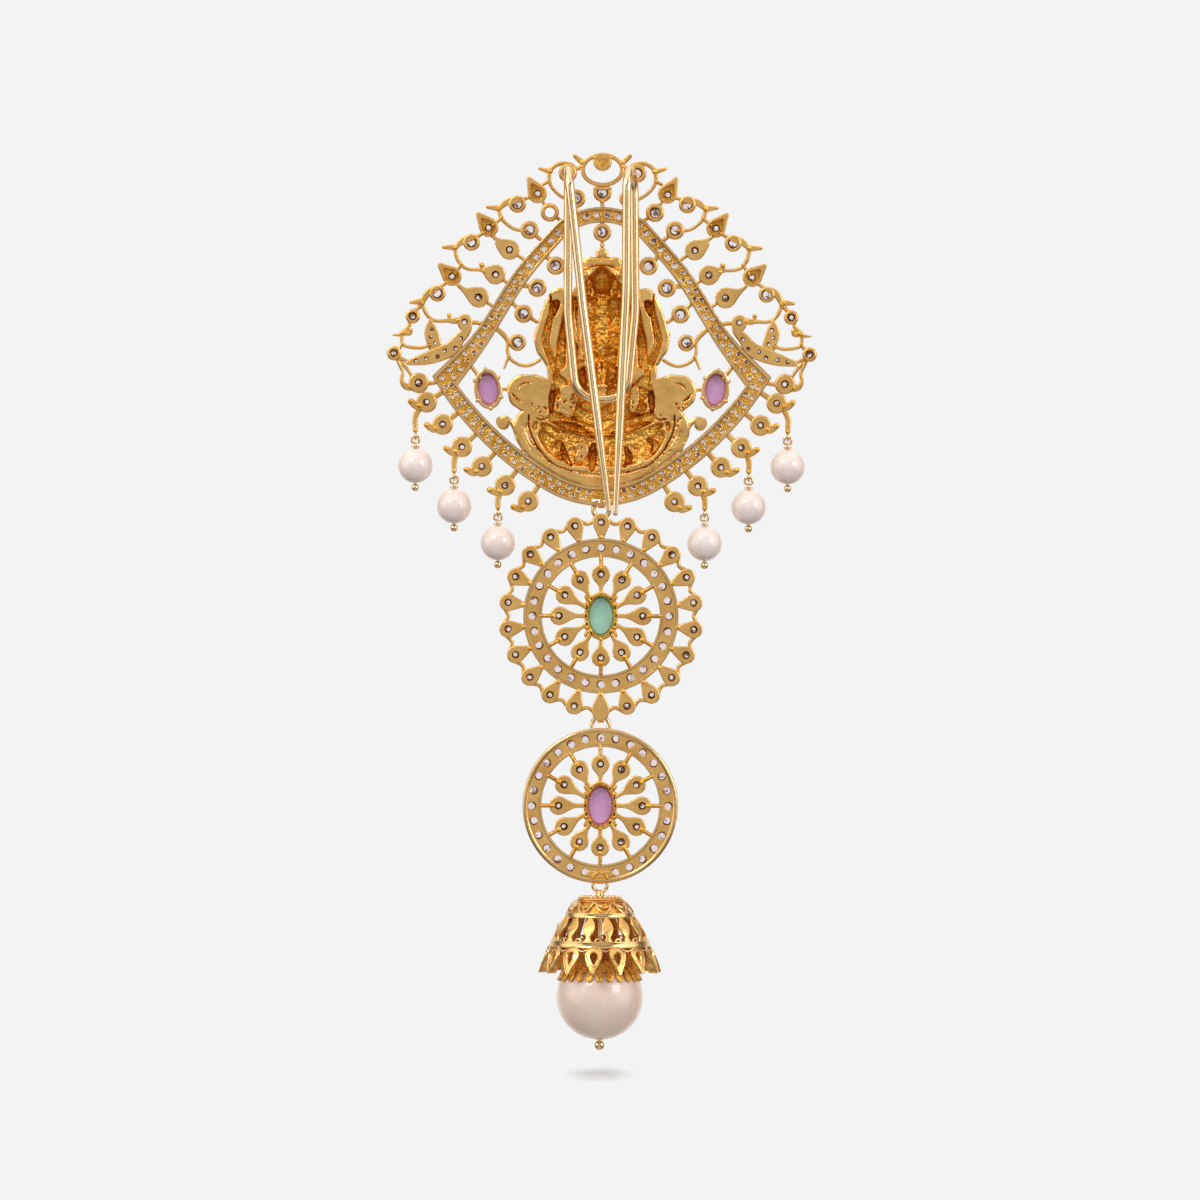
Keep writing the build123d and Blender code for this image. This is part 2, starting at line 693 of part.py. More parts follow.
def make_crest():
    left = Casting(lattice_front)
    lattice_left(left)
    inside_left(left)
    drops_left(left)
    crest = Casting(lattice_front)
    crest.both_sides(left)
    crown(crest)
    crest.collet(inside(0, 0.086, 0)[:2], collet_radius * 0.98, stone_radius)
    crest.add(*chain(inside(0, 0.03, 0.3), inside(0, 0.128, 0.3)))
    setting = crest_setting()
    peg, side_peg = setting_peg / 2, setting_side_peg / 2
    peg_up = inside(-0.785, 0.52, peg)
    peg_side = (figure_side - solder_gap - side_peg, setting[1], side_peg)
    for side in (1, -1):
        place = (setting[0] * side, setting[1])
        crest.setting(place, crest_oval_half, crest_oval_tilt * side)
        crest.add(tapered(place, peg, (peg_up[0] * side, peg_up[1]), peg))
        crest.add(tapered(place, side_peg, (peg_side[0] * side, peg_side[1]), side_peg))
    band = band_edge(0) - band_edge(1)
    crest.raised.append(flat(band, plate_back, plate_front))
    rail = rail_width / band_side_width
    channel = band_edge(rail) - band_edge(1 - rail) - Pos(0, band_bottom_z) * Rectangle(*channel_break)
    crest.cuts.append(flat(channel, plate_back - 1, plate_back + channel_depth))
    crest.cuts.append(flat(channel, plate_front - channel_depth, plate_front + 1))
    for index in pearl_drops:
        x, z = pearl_eye(index)
        for place in ((x, hang_y, z), (-x, hang_y, z)):
            crest.raised.append(ring_upright(place, pearl_loop_radius, pearl_pin_wire / 2, True))
    crest.knuckle(band_bottom_z + link_1.hide, link_1)
    return crest


# Medallions

medallion_1_z = band_bottom_z - medallion_1_drop
outer_ring = medallion_radius + outer_petal_reach
medallion_1_bottom = medallion_1_z - outer_ring - outer_petal_radius - medallion_foot_rise
medallion_2_z = medallion_1_bottom - medallion_2_drop
medallion_2_bottom = medallion_2_z - medallion_radius
bell_top_z = medallion_2_bottom - bell_gap
pearl_pivot_z = bell_top_z - bell_wall - 2 * bell_eye.radius + bell_eye.wire / 2
big_pearl_z = bell_top_z - bell_skirt_drop - big_pearl_below_bell


def add_flower(medallion, centre, half):
    """The oval setting and the ring of petals round it, with the stones of the rim."""
    rim_inner = medallion_radius - medallion_rim
    rim_middle = medallion_radius - medallion_rim / 2
    wall_x = half[0] + setting_wall
    wall_z = half[1] + setting_wall
    for n in range(inner_petal_count):
        angle = 90 + 360 * n / inner_petal_count
        head = step(centre, angle, inner_petal_at)
        wall = 1 / ((cos(radians(angle)) / wall_x) ** 2 + (sin(radians(angle)) / wall_z) ** 2) ** 0.5
        root = step(centre, angle, wall - soldered_overlap)
        neck = between(root, head, 0.45)
        edge = step(centre, angle, rim_inner + 0.3)
        medallion.add(*chain((*root, petal_root), (*neck, petal_neck), (*head, inner_petal_radius)))
        medallion.add(tapered(head, lattice_wire / 2, edge, lattice_wire / 2))
        medallion.seat(head, small_stone_radius)
    medallion.setting(centre, half, 0)
    medallion.raised.append(flat(
        disc(centre, medallion_radius) - disc(centre, rim_inner), plate_back, plate_front))
    return rim_middle


def rim_seats(medallion, centre, middle, skipped):
    """Stones of the thick rim, which is a little deeper than the petals."""
    for n in range(rim_stone_count):
        if n not in skipped:
            p = step(centre, 90 + 360 * n / rim_stone_count, middle)
            medallion.seat(p, rim_stone_radius, plate_front)


def make_medallion_1():
    centre = (0, medallion_1_z)
    medallion = Casting(lattice_front)
    middle = add_flower(medallion, centre, medallion_oval_half)
    rim_seats(medallion, centre, middle, [])
    fine = fine_wire / 2
    for n in range(outer_petal_count):
        angle = 90 + 360 * n / outer_petal_count
        head = step(centre, angle, outer_ring)
        root = step(centre, angle, medallion_radius - soldered_overlap)
        wire_ring = outer_ring + outer_wire_rise
        here = step(centre, angle, wire_ring)
        following = step(centre, angle + 360 / outer_petal_count, wire_ring)
        medallion.add(tapered(head, outer_petal_radius, root, outer_petal_root))
        medallion.add(tapered(here, fine, following, fine))
        if n != outer_petal_count // 2:
            medallion.seat(head, small_stone_radius)
    bottom = step(centre, 270, outer_ring)
    foot = (0, medallion_1_bottom + medallion_foot_radius)
    medallion.add(tapered(bottom, outer_petal_radius, foot, medallion_foot_radius))
    medallion.link_ring(band_bottom_z + link_1.hide, link_1)
    medallion.knuckle(medallion_1_bottom + link_2.hide, link_2)
    return medallion


def make_medallion_2():
    centre = (0, medallion_2_z)
    medallion = Casting(lattice_front)
    middle = add_flower(medallion, centre, medallion_oval_half)
    rim_seats(medallion, centre, middle, [rim_stone_count // 2])
    medallion.link_ring(medallion_1_bottom + link_2.hide, link_2)
    medallion.knuckle(medallion_2_bottom + link_3.hide, link_3)
    return medallion


# Bell and its pearl, drawn about the Z axis and then moved to the hanging plane


def on_axis(shape):
    return Pos(0, hang_y, 0) * shape


def revolved(points):
    """A solid of revolution about Z from points of radius and height."""
    return revolve(Plane.XZ * make_face(Polyline(*points, close=True)), Axis.Z, 360)


def around(tool, count, first=0.0):
    return [Rot(0, 0, 360 * n / count + first) * tool for n in range(count)]


def piercing(outline):
    """A cutter that goes from the axis outwards, from an outline of width and height."""
    return flat(outline, bell_cut_from, bell_cut_to)


def bell_level(drop):
    return bell_top_z - drop


def bell_radius(drop):
    """The bell's outer radius at a drop below its top."""
    levels = [0, bell_rail_1_drop, bell_rail_2_drop, bell_skirt_drop]
    radii = [bell_top_radius, bell_rail_1_radius - 0.15, bell_rail_2_radius - 0.2, bell_skirt_radius]
    for n in range(3):
        if drop <= levels[n + 1]:
            share = (drop - levels[n]) / (levels[n + 1] - levels[n])
            return radii[n] + share * (radii[n + 1] - radii[n])
    return radii[-1]


def make_bell():
    top = bell_top_z
    drops = [0, bell_rail_1_drop, bell_rail_2_drop, bell_skirt_drop]
    outer = [(bell_radius(drop), top - drop) for drop in drops]
    inner = [(radius - bell_wall, z) for radius, z in reversed(outer[1:])]
    roof = [(bell_top_radius - bell_wall * 0.6, top - bell_wall), (0, top - bell_wall)]
    body = revolved([(0, top)] + outer + inner + roof)
    rails = [
        Pos(0, 0, top - bell_rail_1_drop) * Torus(bell_rail_1_radius - bell_rail_1_sink, bell_rail / 2),
        Pos(0, 0, top - bell_rail_2_drop) * Torus(bell_rail_2_radius - bell_rail_2_sink, bell_rail / 2),
    ]
    ring_bottom = medallion_2_bottom + link_3.hide - 2 * link_3.radius
    stem_top = ring_bottom + link_3.wire * 0.5
    stem_bottom = top - bell_wall / 2
    stem = Pos(0, 0, (stem_top + stem_bottom) / 2) * Cylinder(bell_stem_radius, stem_top - stem_bottom)
    eye = ring_upright((0, 0, pearl_pivot_z + bell_eye.radius), bell_eye.radius, bell_eye.wire, False)
    body = body + rails + [stem, eye]
    peak = piercing(chain(
        (0, bell_level(bell_rail_1_drop * 0.72), bell_peak_cut),
        (0, bell_level(bell_rail_1_drop * 0.42), bell_peak_tip))[0])
    low = bell_level(bell_rail_2_drop - bell_leaf_gap_above)
    high = bell_level(bell_rail_1_drop + bell_leaf_gap_below)
    waist = (0, (low + high) / 2, bell_leaf_gap_waist)
    gap = Sketch() + chain((0, low, bell_leaf_gap_low), waist, (0, high, bell_leaf_gap_high))
    skirt_mid = (bell_rail_2_drop + bell_skirt_drop) / 2
    notch = piercing(tapered((0, bell_level(bell_skirt_drop + 0.7)), bell_notch_low,
                             (0, bell_level(skirt_mid - 0.2)), bell_notch_high))
    pear = piercing(tapered((0, bell_level(skirt_mid - bell_pear_rise)), bell_stone + stone_gap,
                            (0, bell_level(skirt_mid + bell_pear_tip_drop)), 0.2))
    seat = piercing(disc((0, bell_level(bell_leaf_seat)), bell_stone + stone_gap))
    cuts = around(peak, bell_peak_count)
    cuts += around(piercing(gap), bell_leaf_count)
    cuts += around(notch, bell_skirt_count, 180 / bell_skirt_count)
    cuts += around(pear, bell_skirt_count)
    cuts += [Rot(0, 0, angle) * seat for angle in bell_leaf_angles()]
    body = body - cuts
    ring = Pos(0, -hang_y, 0) * ring_upright(
        (0, hang_y, medallion_2_bottom + link_3.hide - link_3.radius), link_3.radius, link_3.wire, False)
    return on_axis(body + ring)


def bell_leaf_angles():
    """The leaf plates on the display side that hold a stone, as turns from +Y."""
    pitch = 360 / bell_leaf_count
    turns = [(n + 0.5) * pitch for n in range(-bell_leaf_count // 2, bell_leaf_count // 2)]
    return [turn for turn in turns if abs(turn) < bell_stone_turn]


def bell_skirt_angles():
    pitch = 360 / bell_skirt_count
    turns = [n * pitch for n in range(-bell_skirt_count // 2, bell_skirt_count // 2)]
    return [turn for turn in turns if abs(turn) < bell_stone_turn]


def make_bell_stones():
    stone = round_stone(bell_stone)
    skirt_mid = (bell_rail_2_drop + bell_skirt_drop) / 2
    places = [(turn, bell_leaf_seat) for turn in bell_leaf_angles()]
    places += [(turn, skirt_mid - bell_pear_rise) for turn in bell_skirt_angles()]
    return [
        on_axis(Rot(0, 0, turn) * Pos(0, bell_radius(drop) - bell_stone * 0.5, bell_level(drop)) * stone)
        for turn, drop in places
    ]


def make_pearl(middle, radius, wire):
    return Pos(*middle) * (Sphere(radius) - Cylinder(wire / 2 + bead_gap, 3 * radius))


def make_pin(middle, radius, wire, ball, loop, pivot_z, collar):
    """A ball-end pin through a pearl, with a loop round the pivot."""
    x, y, z = middle
    ball_z = z - radius - ball - bead_gap
    top = pivot_z - loop - wire / 2 * 0.2
    shank = Pos(x, y, (ball_z + top) / 2) * Cylinder(wire / 2, top - ball_z)
    pieces = [shank, Pos(x, y, ball_z) * Sphere(ball)]
    if collar:
        collar_z = z + radius + bead_gap + pearl_collar_height / 2
        pieces.append(Pos(x, y, collar_z) * Cylinder(pearl_collar_radius, pearl_collar_height))
    return pieces


def make_big_pin():
    pieces = make_pin(
        (0, hang_y, big_pearl_z), big_pearl_radius, big_pin_wire, big_ball_radius,
        pin_loop.radius, pearl_pivot_z, False)
    loop = ring_upright((0, hang_y, pearl_pivot_z), pin_loop.radius, pin_loop.wire, True)
    return pieces[0] + pieces[1:] + loop


def small_pearl_places():
    """Each small pearl's name, eye and side, from the outermost on the left to the right."""
    places = []
    for side_name, side in (("left", 1), ("right", -1)):
        for n, index in enumerate(sorted(pearl_drops, reverse=True)):
            x, z = pearl_eye(index)
            places.append((f"{side_name}_{n + 1}", (x * side, hang_y, z)))
    return places


def small_pearl_middle(eye):
    drop = 2 * pearl_loop_radius + pearl_pin_wire / 2 + pearl_neck
    drop += pearl_collar_height + bead_gap + pearl_radius
    return (eye[0], eye[1], eye[2] - drop)


def make_small_pin(eye):
    """The loop hangs in the crest's eye: its upper bar runs through it from side to side."""
    middle = small_pearl_middle(eye)
    loop_z = eye[2] - pearl_loop_radius
    pieces = make_pin(
        middle, pearl_radius, pearl_pin_wire, pearl_ball_radius,
        pearl_loop_radius, loop_z, True)
    loop = ring_upright((eye[0], eye[1], loop_z), pearl_loop_radius, pearl_pin_wire / 2, False)
    return pieces[0] + pieces[1:] + loop


def make_big_cap():
    inner = big_pearl_radius + bead_gap
    outer = inner + cap_wall
    shell = Sphere(outer) - Sphere(inner)
    keep_z = outer * cos(radians(cap_tooth_end))
    shell = shell & (Pos(0, 0, keep_z + outer) * Box(3 * outer, 3 * outer, 2 * outer))
    pitch = 2 * pi * outer * sin(radians(cap_tooth_end)) / cap_tooth_count
    notch_top = outer * cos(radians(cap_tooth_top))
    notch = make_face(Polyline(
        (0, notch_top), (-pitch * 0.42, keep_z - 0.1), (pitch * 0.42, keep_z - 0.1), close=True))
    hole = Cylinder(big_pin_wire / 2 + bead_gap, 3 * outer)
    cap = shell - [hole, *around(flat(notch, inner * 0.4, outer + 1), cap_tooth_count)]
    return Pos(0, hang_y, big_pearl_z) * cap


# Hair fork

Bend = namedtuple("Bend", "across y z radius")


def make_fork():
    """One wire: a tine, a bend over the top, the U against the crest, and back to the other tine."""
    half = fork_half_span
    top = bend_radius
    bend = bend_radius * 0.97
    tine_end = -(tine_length - tine_taper)
    left_tip, right_tip = (0.22 * half, -tine_length + 0.4), (0.41 * half, -tine_length)
    left_knee, right_knee = (-0.57 * half, -0.345 * tine_length), (0.70 * half, -0.31 * tine_length)
    left_end = between(left_knee, left_tip, (left_knee[1] - tine_end) / (left_knee[1] - left_tip[1]))
    right_end = between(right_knee, right_tip, (right_knee[1] - tine_end) / (right_knee[1] - right_tip[1]))
    bends = [
        Bend(left_end[0], -leg_y, left_end[1], 0),
        Bend(left_knee[0], -leg_y, left_knee[1], 40),
        Bend(-half, -leg_y, top, bend),
        Bend(-half, leg_y, top, bend),
        Bend(-half, leg_y, -0.58 * leg_length, 20),
        Bend(-0.74 * half, leg_y, -leg_length, u_bend_radius),
        Bend(0.74 * half, leg_y, -leg_length, u_bend_radius),
        Bend(0.97 * half, leg_y, -0.58 * leg_length, 20),
        Bend(0.92 * half, leg_y, top, bend),
        Bend(0.71 * half, -leg_y, top, bend),
        Bend(right_knee[0], -leg_y, right_knee[1], 40),
        Bend(right_end[0], -leg_y, right_end[1], 0),
    ]
    path = wire_path(bends)
    start = Plane(origin=path @ 0, z_dir=path % 0)
    wire = sweep(start * Circle(fork_wire / 2), path)
    tines = [tine_point(left_end, left_tip), tine_point(right_end, right_tip)]
    return wire + tines


def tine_point(end, tip):
    """The tapered end of a tine, with a round tip."""
    start = Vector(end[0], -leg_y, end[1])
    finish = Vector(tip[0], -leg_y, tip[1])
    run = finish - start
    cone = Solid.make_cone(
        fork_wire / 2, fork_tip_wire / 2, run.length, Plane(origin=start, z_dir=run))
    return cone.fuse(Solid.make_sphere(fork_tip_wire / 2, angle1=-90, angle2=90).moved(Pos(finish)))


def wire_path(bends):
    """Straight runs joined by tangent arcs, each of its bend's radius."""
    points = [Vector(bend.across, bend.y, bend.z) for bend in bends]
    edges = []
    last = points[0]
    for n in range(1, len(points) - 1):
        before = (points[n - 1] - points[n]).normalized()
        after = (points[n + 1] - points[n]).normalized()
        half_angle = radians(before.get_angle(after)) / 2
        reach = bends[n].radius / (sin(half_angle) / cos(half_angle))
        start = points[n] + before * reach
        finish = points[n] + after * reach
        to_centre = (before + after).normalized()
        centre = points[n] + to_centre * (bends[n].radius / sin(half_angle))
        middle = centre - to_centre * bends[n].radius
        if (start - last).length > 0.01:
            edges.append(Line(last, start))
        edges.append(ThreePointArc(start, middle, finish))
        last = finish
    edges.append(Line(last, points[-1]))
    return Wire(edges)


# Figure

figure_base_z = band_bottom_z + figure_rise


def on_figure(across, up, radius):
    """A round in shares of the figure's half width and height."""
    return (across * figure_half_width, figure_base_z + up * figure_height, radius * figure_half_width)


figure_side = on_figure(-1.147, 0.379, 0)[0] - 0.25 * figure_half_width

# Left half of the casting's outline: rounds in shares, chained row by row.
figure_rows = {
    "crown": [(0, 0.978, 0.07), (0, 0.935, 0.13), (0, 0.845, 0.27), (0, 0.77, 0.45)],
    "torso": [(0, 0.77, 0.45), (0, 0.42, 0.72)],
    "arm": [(-0.62, 0.775, 0.19), (-0.72, 0.70, 0.2), (-0.77, 0.61, 0.22), (-0.66, 0.52, 0.2),
            (-0.62, 0.39, 0.2)],
    "leg": [(0, 0.33, 0.3), (-0.58, 0.32, 0.22)],
    "seat": [(0, 0.16, 0.34), (-0.76, 0.19, 0.22), (-0.58, 0.10, 0.18), (0, 0.075, 0.2)],
    "scroll": [(-0.80, 0.41, 0.12), (-1.147, 0.379, 0.25), (-0.897, 0.31, 0.17)],
    "fiddlehead": [(-1.464, 0.242, 0.098), (-1.406, 0.258, 0.06), (-1.331, 0.245, 0.032),
                   (-1.28, 0.208, 0.026), (-1.231, 0.169, 0.026), (-1.16, 0.128, 0.031)],
    "stem": [(-0.93, 0.31, 0.12), (-1.16, 0.26, 0.1), (-1.20, 0.205, 0.085), (-1.11, 0.147, 0.085),
             (-0.94, 0.095, 0.085), (-0.72, 0.055, 0.085), (-0.38, 0.03, 0.08), (0, 0.025, 0.08)],
}
# Forms raised at the front, as limbs between two balls: shares, and the depth in shares of
# the relief. Those named with a side are mirrored.
Ball = namedtuple("Ball", "across up depth radius")
middle_forms = [
    (Ball(0, 0.895, 0.52, 0.18), Ball(0, 0.875, 0.52, 0.165)),
    (Ball(0, 0.935, 0.48, 0.17), Ball(0, 0.985, 0.46, 0.07)),
    (Ball(0, 0.84, 0.40, 0.10), Ball(0, 0.79, 0.40, 0.13)),
    (Ball(-0.26, 0.745, 0.34, 0.19), Ball(0.26, 0.745, 0.34, 0.19)),
    (Ball(0, 0.71, 0.38, 0.27), Ball(0, 0.52, 0.40, 0.23)),
    (Ball(-0.22, 0.41, 0.38, 0.26), Ball(0.22, 0.41, 0.38, 0.26)),
    (Ball(-0.50, 0.19, 0.34, 0.27), Ball(0.50, 0.19, 0.34, 0.27)),
    (Ball(-0.48, 0.075, 0.26, 0.17), Ball(0.48, 0.075, 0.26, 0.17)),
]
side_forms = [
    (Ball(-0.16, 0.39, 0.50, 0.19), Ball(-0.66, 0.335, 0.46, 0.19)),
    (Ball(-0.64, 0.31, 0.52, 0.15), Ball(0.06, 0.285, 0.68, 0.11)),
    (Ball(-0.40, 0.74, 0.38, 0.13), Ball(-0.60, 0.575, 0.44, 0.11)),
    (Ball(-0.60, 0.575, 0.44, 0.11), Ball(-0.46, 0.44, 0.70, 0.09)),
    (Ball(-0.42, 0.76, 0.30, 0.12), Ball(-0.74, 0.665, 0.32, 0.10)),
    (Ball(-0.74, 0.665, 0.32, 0.10), Ball(-0.68, 0.77, 0.40, 0.09)),
    (Ball(-0.68, 0.79, 0.40, 0.13), Ball(-0.67, 0.82, 0.40, 0.06)),
    (Ball(-1.16, 0.385, 0.20, 0.17), Ball(-1.10, 0.375, 0.20, 0.17)),
]
# Lotus petals round the seat, at shares of the half width
petal_places = [-0.69, -0.46, -0.23, 0, 0.23, 0.46, 0.69]
# What is hollowed out from behind
hollow_rows = {
    "head": [(0, 0.935, 0.07), (0, 0.86, 0.11), (0, 0.80, 0.11)],
    "torso": [(0, 0.77, 0.26), (0, 0.46, 0.30)],
    "legs": [(-0.52, 0.33, 0.13), (0.52, 0.33, 0.13)],
    "seat": [(-0.52, 0.17, 0.2), (0.52, 0.17, 0.2)],
}
hollow_limbs = [3, 4, 5, 6]


def ball_place(ball):
    x, z, radius = on_figure(ball.across, ball.up, ball.radius)
    return (x, plate_back + ball.depth * figure_relief, z), radius


def limb(first, second, wall=0.0):
    """A solid between two balls, with its walls thinned by an amount for the hollow behind."""
    (p, p_radius), (q, q_radius) = ball_place(first), ball_place(second)
    p_radius, q_radius = p_radius - wall, q_radius - wall
    run = Vector(*q) - Vector(*p)
    turn = degrees(acos((p_radius - q_radius) / run.length))
    far = (run.length, 0)
    profile = make_face([
        ThreePointArc((-p_radius, 0), step((0, 0), (turn + 180) / 2, p_radius), step((0, 0), turn, p_radius)),
        Line(step((0, 0), turn, p_radius), step(far, turn, q_radius)),
        ThreePointArc(step(far, turn, q_radius), step(far, turn / 2, q_radius), (run.length + q_radius, 0)),
        Line((run.length + q_radius, 0), (-p_radius, 0)),
    ])
    place = Plane(origin=p, x_dir=run, z_dir=run.cross(Vector(0, 1, 0)))
    return place * revolve(profile, Axis.X, 360)


def mirrored_ball(ball):
    return Ball(-ball.across, ball.up, ball.depth, ball.radius)


def make_figure():
    """The casting: a plate with the figure raised on it, hollowed from behind."""
    outlines = []
    for row in figure_rows.values():
        half = chain(*[on_figure(*place) for place in row])
        outlines += half + [mirrored(outline) for outline in half]
    plate = (Sketch() + outlines) & band_edge(1 + solder_gap / band_bottom_width * figure_edge_margin)
    body = flat(plate, plate_back, plate_back + figure_plate)
    forms = [limb(*pair) for pair in middle_forms]
    for first, second in side_forms:
        forms += [limb(first, second), limb(mirrored_ball(first), mirrored_ball(second))]
    for across in petal_places:
        depth = 0.62 - 0.3 * across**2
        forms.append(limb(Ball(across, 0.10, depth - 0.06, 0.10), Ball(across * 1.05, 0.225, depth, 0.05)))
    depth = 4 * figure_relief
    middle = (0, plate_back - depth / 2, figure_base_z + figure_height / 2)
    behind = Pos(*middle) * Box(6 * figure_half_width, depth, 2 * figure_height)
    cavity = [behind]
    for row in hollow_rows.values():
        outline = Sketch() + chain(*[on_figure(*place) for place in row])
        cavity.append(flat(outline, plate_back - 1, plate_back + figure_hollow))
    cavity += [limb(*middle_forms[n], wall=figure_skin) for n in hollow_limbs]
    for form in forms:
        body = body + form
    for tool in cavity:
        body = body - tool
    return body


def make_parts():
    crest, medallion_1, medallion_2 = make_crest(), make_medallion_1(), make_medallion_2()
    crest_oval = oval_stone(crest_oval_half)
    medallion_oval = oval_stone(medallion_oval_half)
    oval_y = lattice_front + setting_rise - oval_sink
    setting = crest_setting()
    parts = {
        "crest_plaque": crest.metal(),
        "crest_stones": Compound(children=crest.stones()),
        "crest_oval_left": Pos(setting[0], oval_y, setting[1]) * Rot(0, -crest_oval_tilt, 0) * crest_oval,
        "crest_oval_right": Pos(-setting[0], oval_y, setting[1]) * Rot(0, crest_oval_tilt, 0) * crest_oval,
        "crest_figure": make_figure(),
        "hair_fork": make_fork(),
        "medallion_1": medallion_1.metal(),
        "medallion_1_stones": Compound(children=medallion_1.stones()),
        "medallion_1_oval": Pos(0, oval_y, medallion_1_z) * medallion_oval,
        "medallion_2": medallion_2.metal(),
        "medallion_2_stones": Compound(children=medallion_2.stones()),
        "medallion_2_oval": Pos(0, oval_y, medallion_2_z) * medallion_oval,
        "bell": make_bell(),
        "bell_stones": Compound(children=make_bell_stones()),
        "big_pearl": make_pearl((0, hang_y, big_pearl_z), big_pearl_radius, big_pin_wire),
        "big_pearl_cap": make_big_cap(),
        "big_pearl_pin": make_big_pin(),
    }
    for name, eye in small_pearl_places():
        parts[f"pearl_{name}"] = make_pearl(small_pearl_middle(eye), pearl_radius, pearl_pin_wire)
        parts[f"pearl_pin_{name}"] = make_small_pin(eye)
    return parts


os.makedirs("parts", exist_ok=True)
for name, shape in make_parts().items():
    export_step(shape, f"parts/{name}.step")
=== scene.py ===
import bmesh
import bpy
import math
import random
from collections import namedtuple
import numpy as np
from mathutils import Matrix, Vector
from mathutils.geometry import tessellate_polygon as tessellate


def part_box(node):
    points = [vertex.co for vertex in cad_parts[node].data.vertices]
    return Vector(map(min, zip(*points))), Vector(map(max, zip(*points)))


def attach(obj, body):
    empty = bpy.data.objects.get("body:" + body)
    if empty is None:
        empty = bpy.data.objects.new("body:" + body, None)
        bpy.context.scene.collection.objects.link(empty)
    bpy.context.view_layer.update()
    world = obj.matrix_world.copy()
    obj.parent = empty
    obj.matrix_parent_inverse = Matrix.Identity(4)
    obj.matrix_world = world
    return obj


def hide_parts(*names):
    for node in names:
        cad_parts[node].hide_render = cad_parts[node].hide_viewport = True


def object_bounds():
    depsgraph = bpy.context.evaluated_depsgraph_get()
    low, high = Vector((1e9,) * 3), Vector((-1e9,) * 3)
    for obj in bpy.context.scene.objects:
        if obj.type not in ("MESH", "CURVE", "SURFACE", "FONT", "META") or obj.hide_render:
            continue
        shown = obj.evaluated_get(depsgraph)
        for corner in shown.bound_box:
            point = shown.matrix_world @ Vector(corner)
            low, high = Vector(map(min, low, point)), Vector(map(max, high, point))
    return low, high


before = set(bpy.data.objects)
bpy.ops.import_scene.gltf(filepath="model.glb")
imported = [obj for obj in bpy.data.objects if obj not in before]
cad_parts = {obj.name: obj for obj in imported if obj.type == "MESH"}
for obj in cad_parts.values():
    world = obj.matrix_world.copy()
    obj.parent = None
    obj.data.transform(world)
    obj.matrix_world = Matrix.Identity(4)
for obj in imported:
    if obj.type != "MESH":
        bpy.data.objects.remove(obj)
cad_low, cad_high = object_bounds()
dice = random.Random(7)

# Hair bun brooch. Sizes are in millimetres, in the model's frame: X across the brooch, +Y out
# of the display face, Z up. The photograph looks along +Y, at the back.
MM = 0.001

# Levels of the flat metal, read from the solids
band_top_z = -2.0
plate_back = round(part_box("crest_plaque")[0].y / MM, 3)
plate_front = plate_back + 2.2
lattice_front = plate_back + 1.6
hang_y = 5.0

# Crest band
band_height = 42.9
band_half_width = 24.36
band_corner_drop = 24.36
arch_radius = 10.4
arch_half_span = 6.4
band_top_width = 2.25
band_side_width = 2.4
band_bottom_width = 2.8
band_corner_width = 4.0
band_corner_lean = 19.0
keel_radius = 15.7
keel_turn = 30.0
rail_width = 0.5
channel_depth = 0.35
arch_z = band_top_z - arch_radius
band_bottom_z = band_top_z - band_height
band_corner = (-band_half_width, band_top_z - band_corner_drop)

# Lattice
lattice_wire = 0.6
fine_wire = 0.5
lattice_reach = 8.6
crown_reach = 7.8
collet_radius = 1.33
small_collet_radius = 1.05
leaf_wall = 0.42
eyelet_bore = 0.72
stone_radius = 0.8
small_stone_radius = 0.62

# Drops under the band and their pearls
drop_out = 2.6
drop_radius = 1.5
drop_tail_radius = 0.42
peg_wire = 0.8
stem_wire = 0.85
pearl_radius = 2.5
pearl_pin_wire = 0.36
pearl_loop_radius = 0.55
pearl_neck = 0.1
pearl_collar_radius = 0.6
pearl_collar_height = 0.36
pearl_ball_radius = 0.55
bead_gap = 0.06

# Oval stones
crest_oval_half = (1.42, 2.3)
crest_oval_tilt = 8.0
medallion_oval_half = (1.8, 2.85)
setting_wall = 0.62
setting_rise = 0.9

# Medallions
medallion_radius = 11.14
medallion_rim = 2.7
medallion_inner = medallion_radius - medallion_rim
rim_stone_count = 28
rim_stone_radius = 0.68
inner_petal_count = 12
outer_petal_count = 22
inner_petal_at = 6.0
inner_petal_radius = 1.36
outer_petal_reach = 2.3
outer_petal_radius = 1.28
medallion_1_z = band_bottom_z - 15.75
outer_ring = medallion_radius + outer_petal_reach
medallion_1_bottom = medallion_1_z - outer_ring - outer_petal_radius - 0.33
medallion_2_z = medallion_1_bottom - 12.15
medallion_2_bottom = medallion_2_z - medallion_radius

Link = namedtuple("Link", "radius wire hide")
link_1 = Link(1.14, 0.36, 0.6)
link_2 = Link(1.22, 0.33, 0.6)
link_3 = Link(1.0, 0.28, 0.75)
pivot_heights = [
    band_bottom_z + link_1.hide,
    medallion_1_bottom + link_2.hide,
    medallion_2_bottom + link_3.hide,
]


# Materials


def node_tree(name):
    material = bpy.data.materials.new(name)
    material.use_nodes = True
    tree = material.node_tree
    return material, tree, tree.nodes["Principled BSDF"]


def set_inputs(tree, node, inputs):
    """Gives each named input of a node its value, or links it to another node's output."""
    for name, value in inputs.items():
        if isinstance(value, bpy.types.NodeSocket):
            tree.links.new(value, node.inputs[name])
        else:
            node.inputs[name].default_value = value
    return node


def add_node(tree, kind, inputs):
    return set_inputs(tree, tree.nodes.new(kind), inputs)


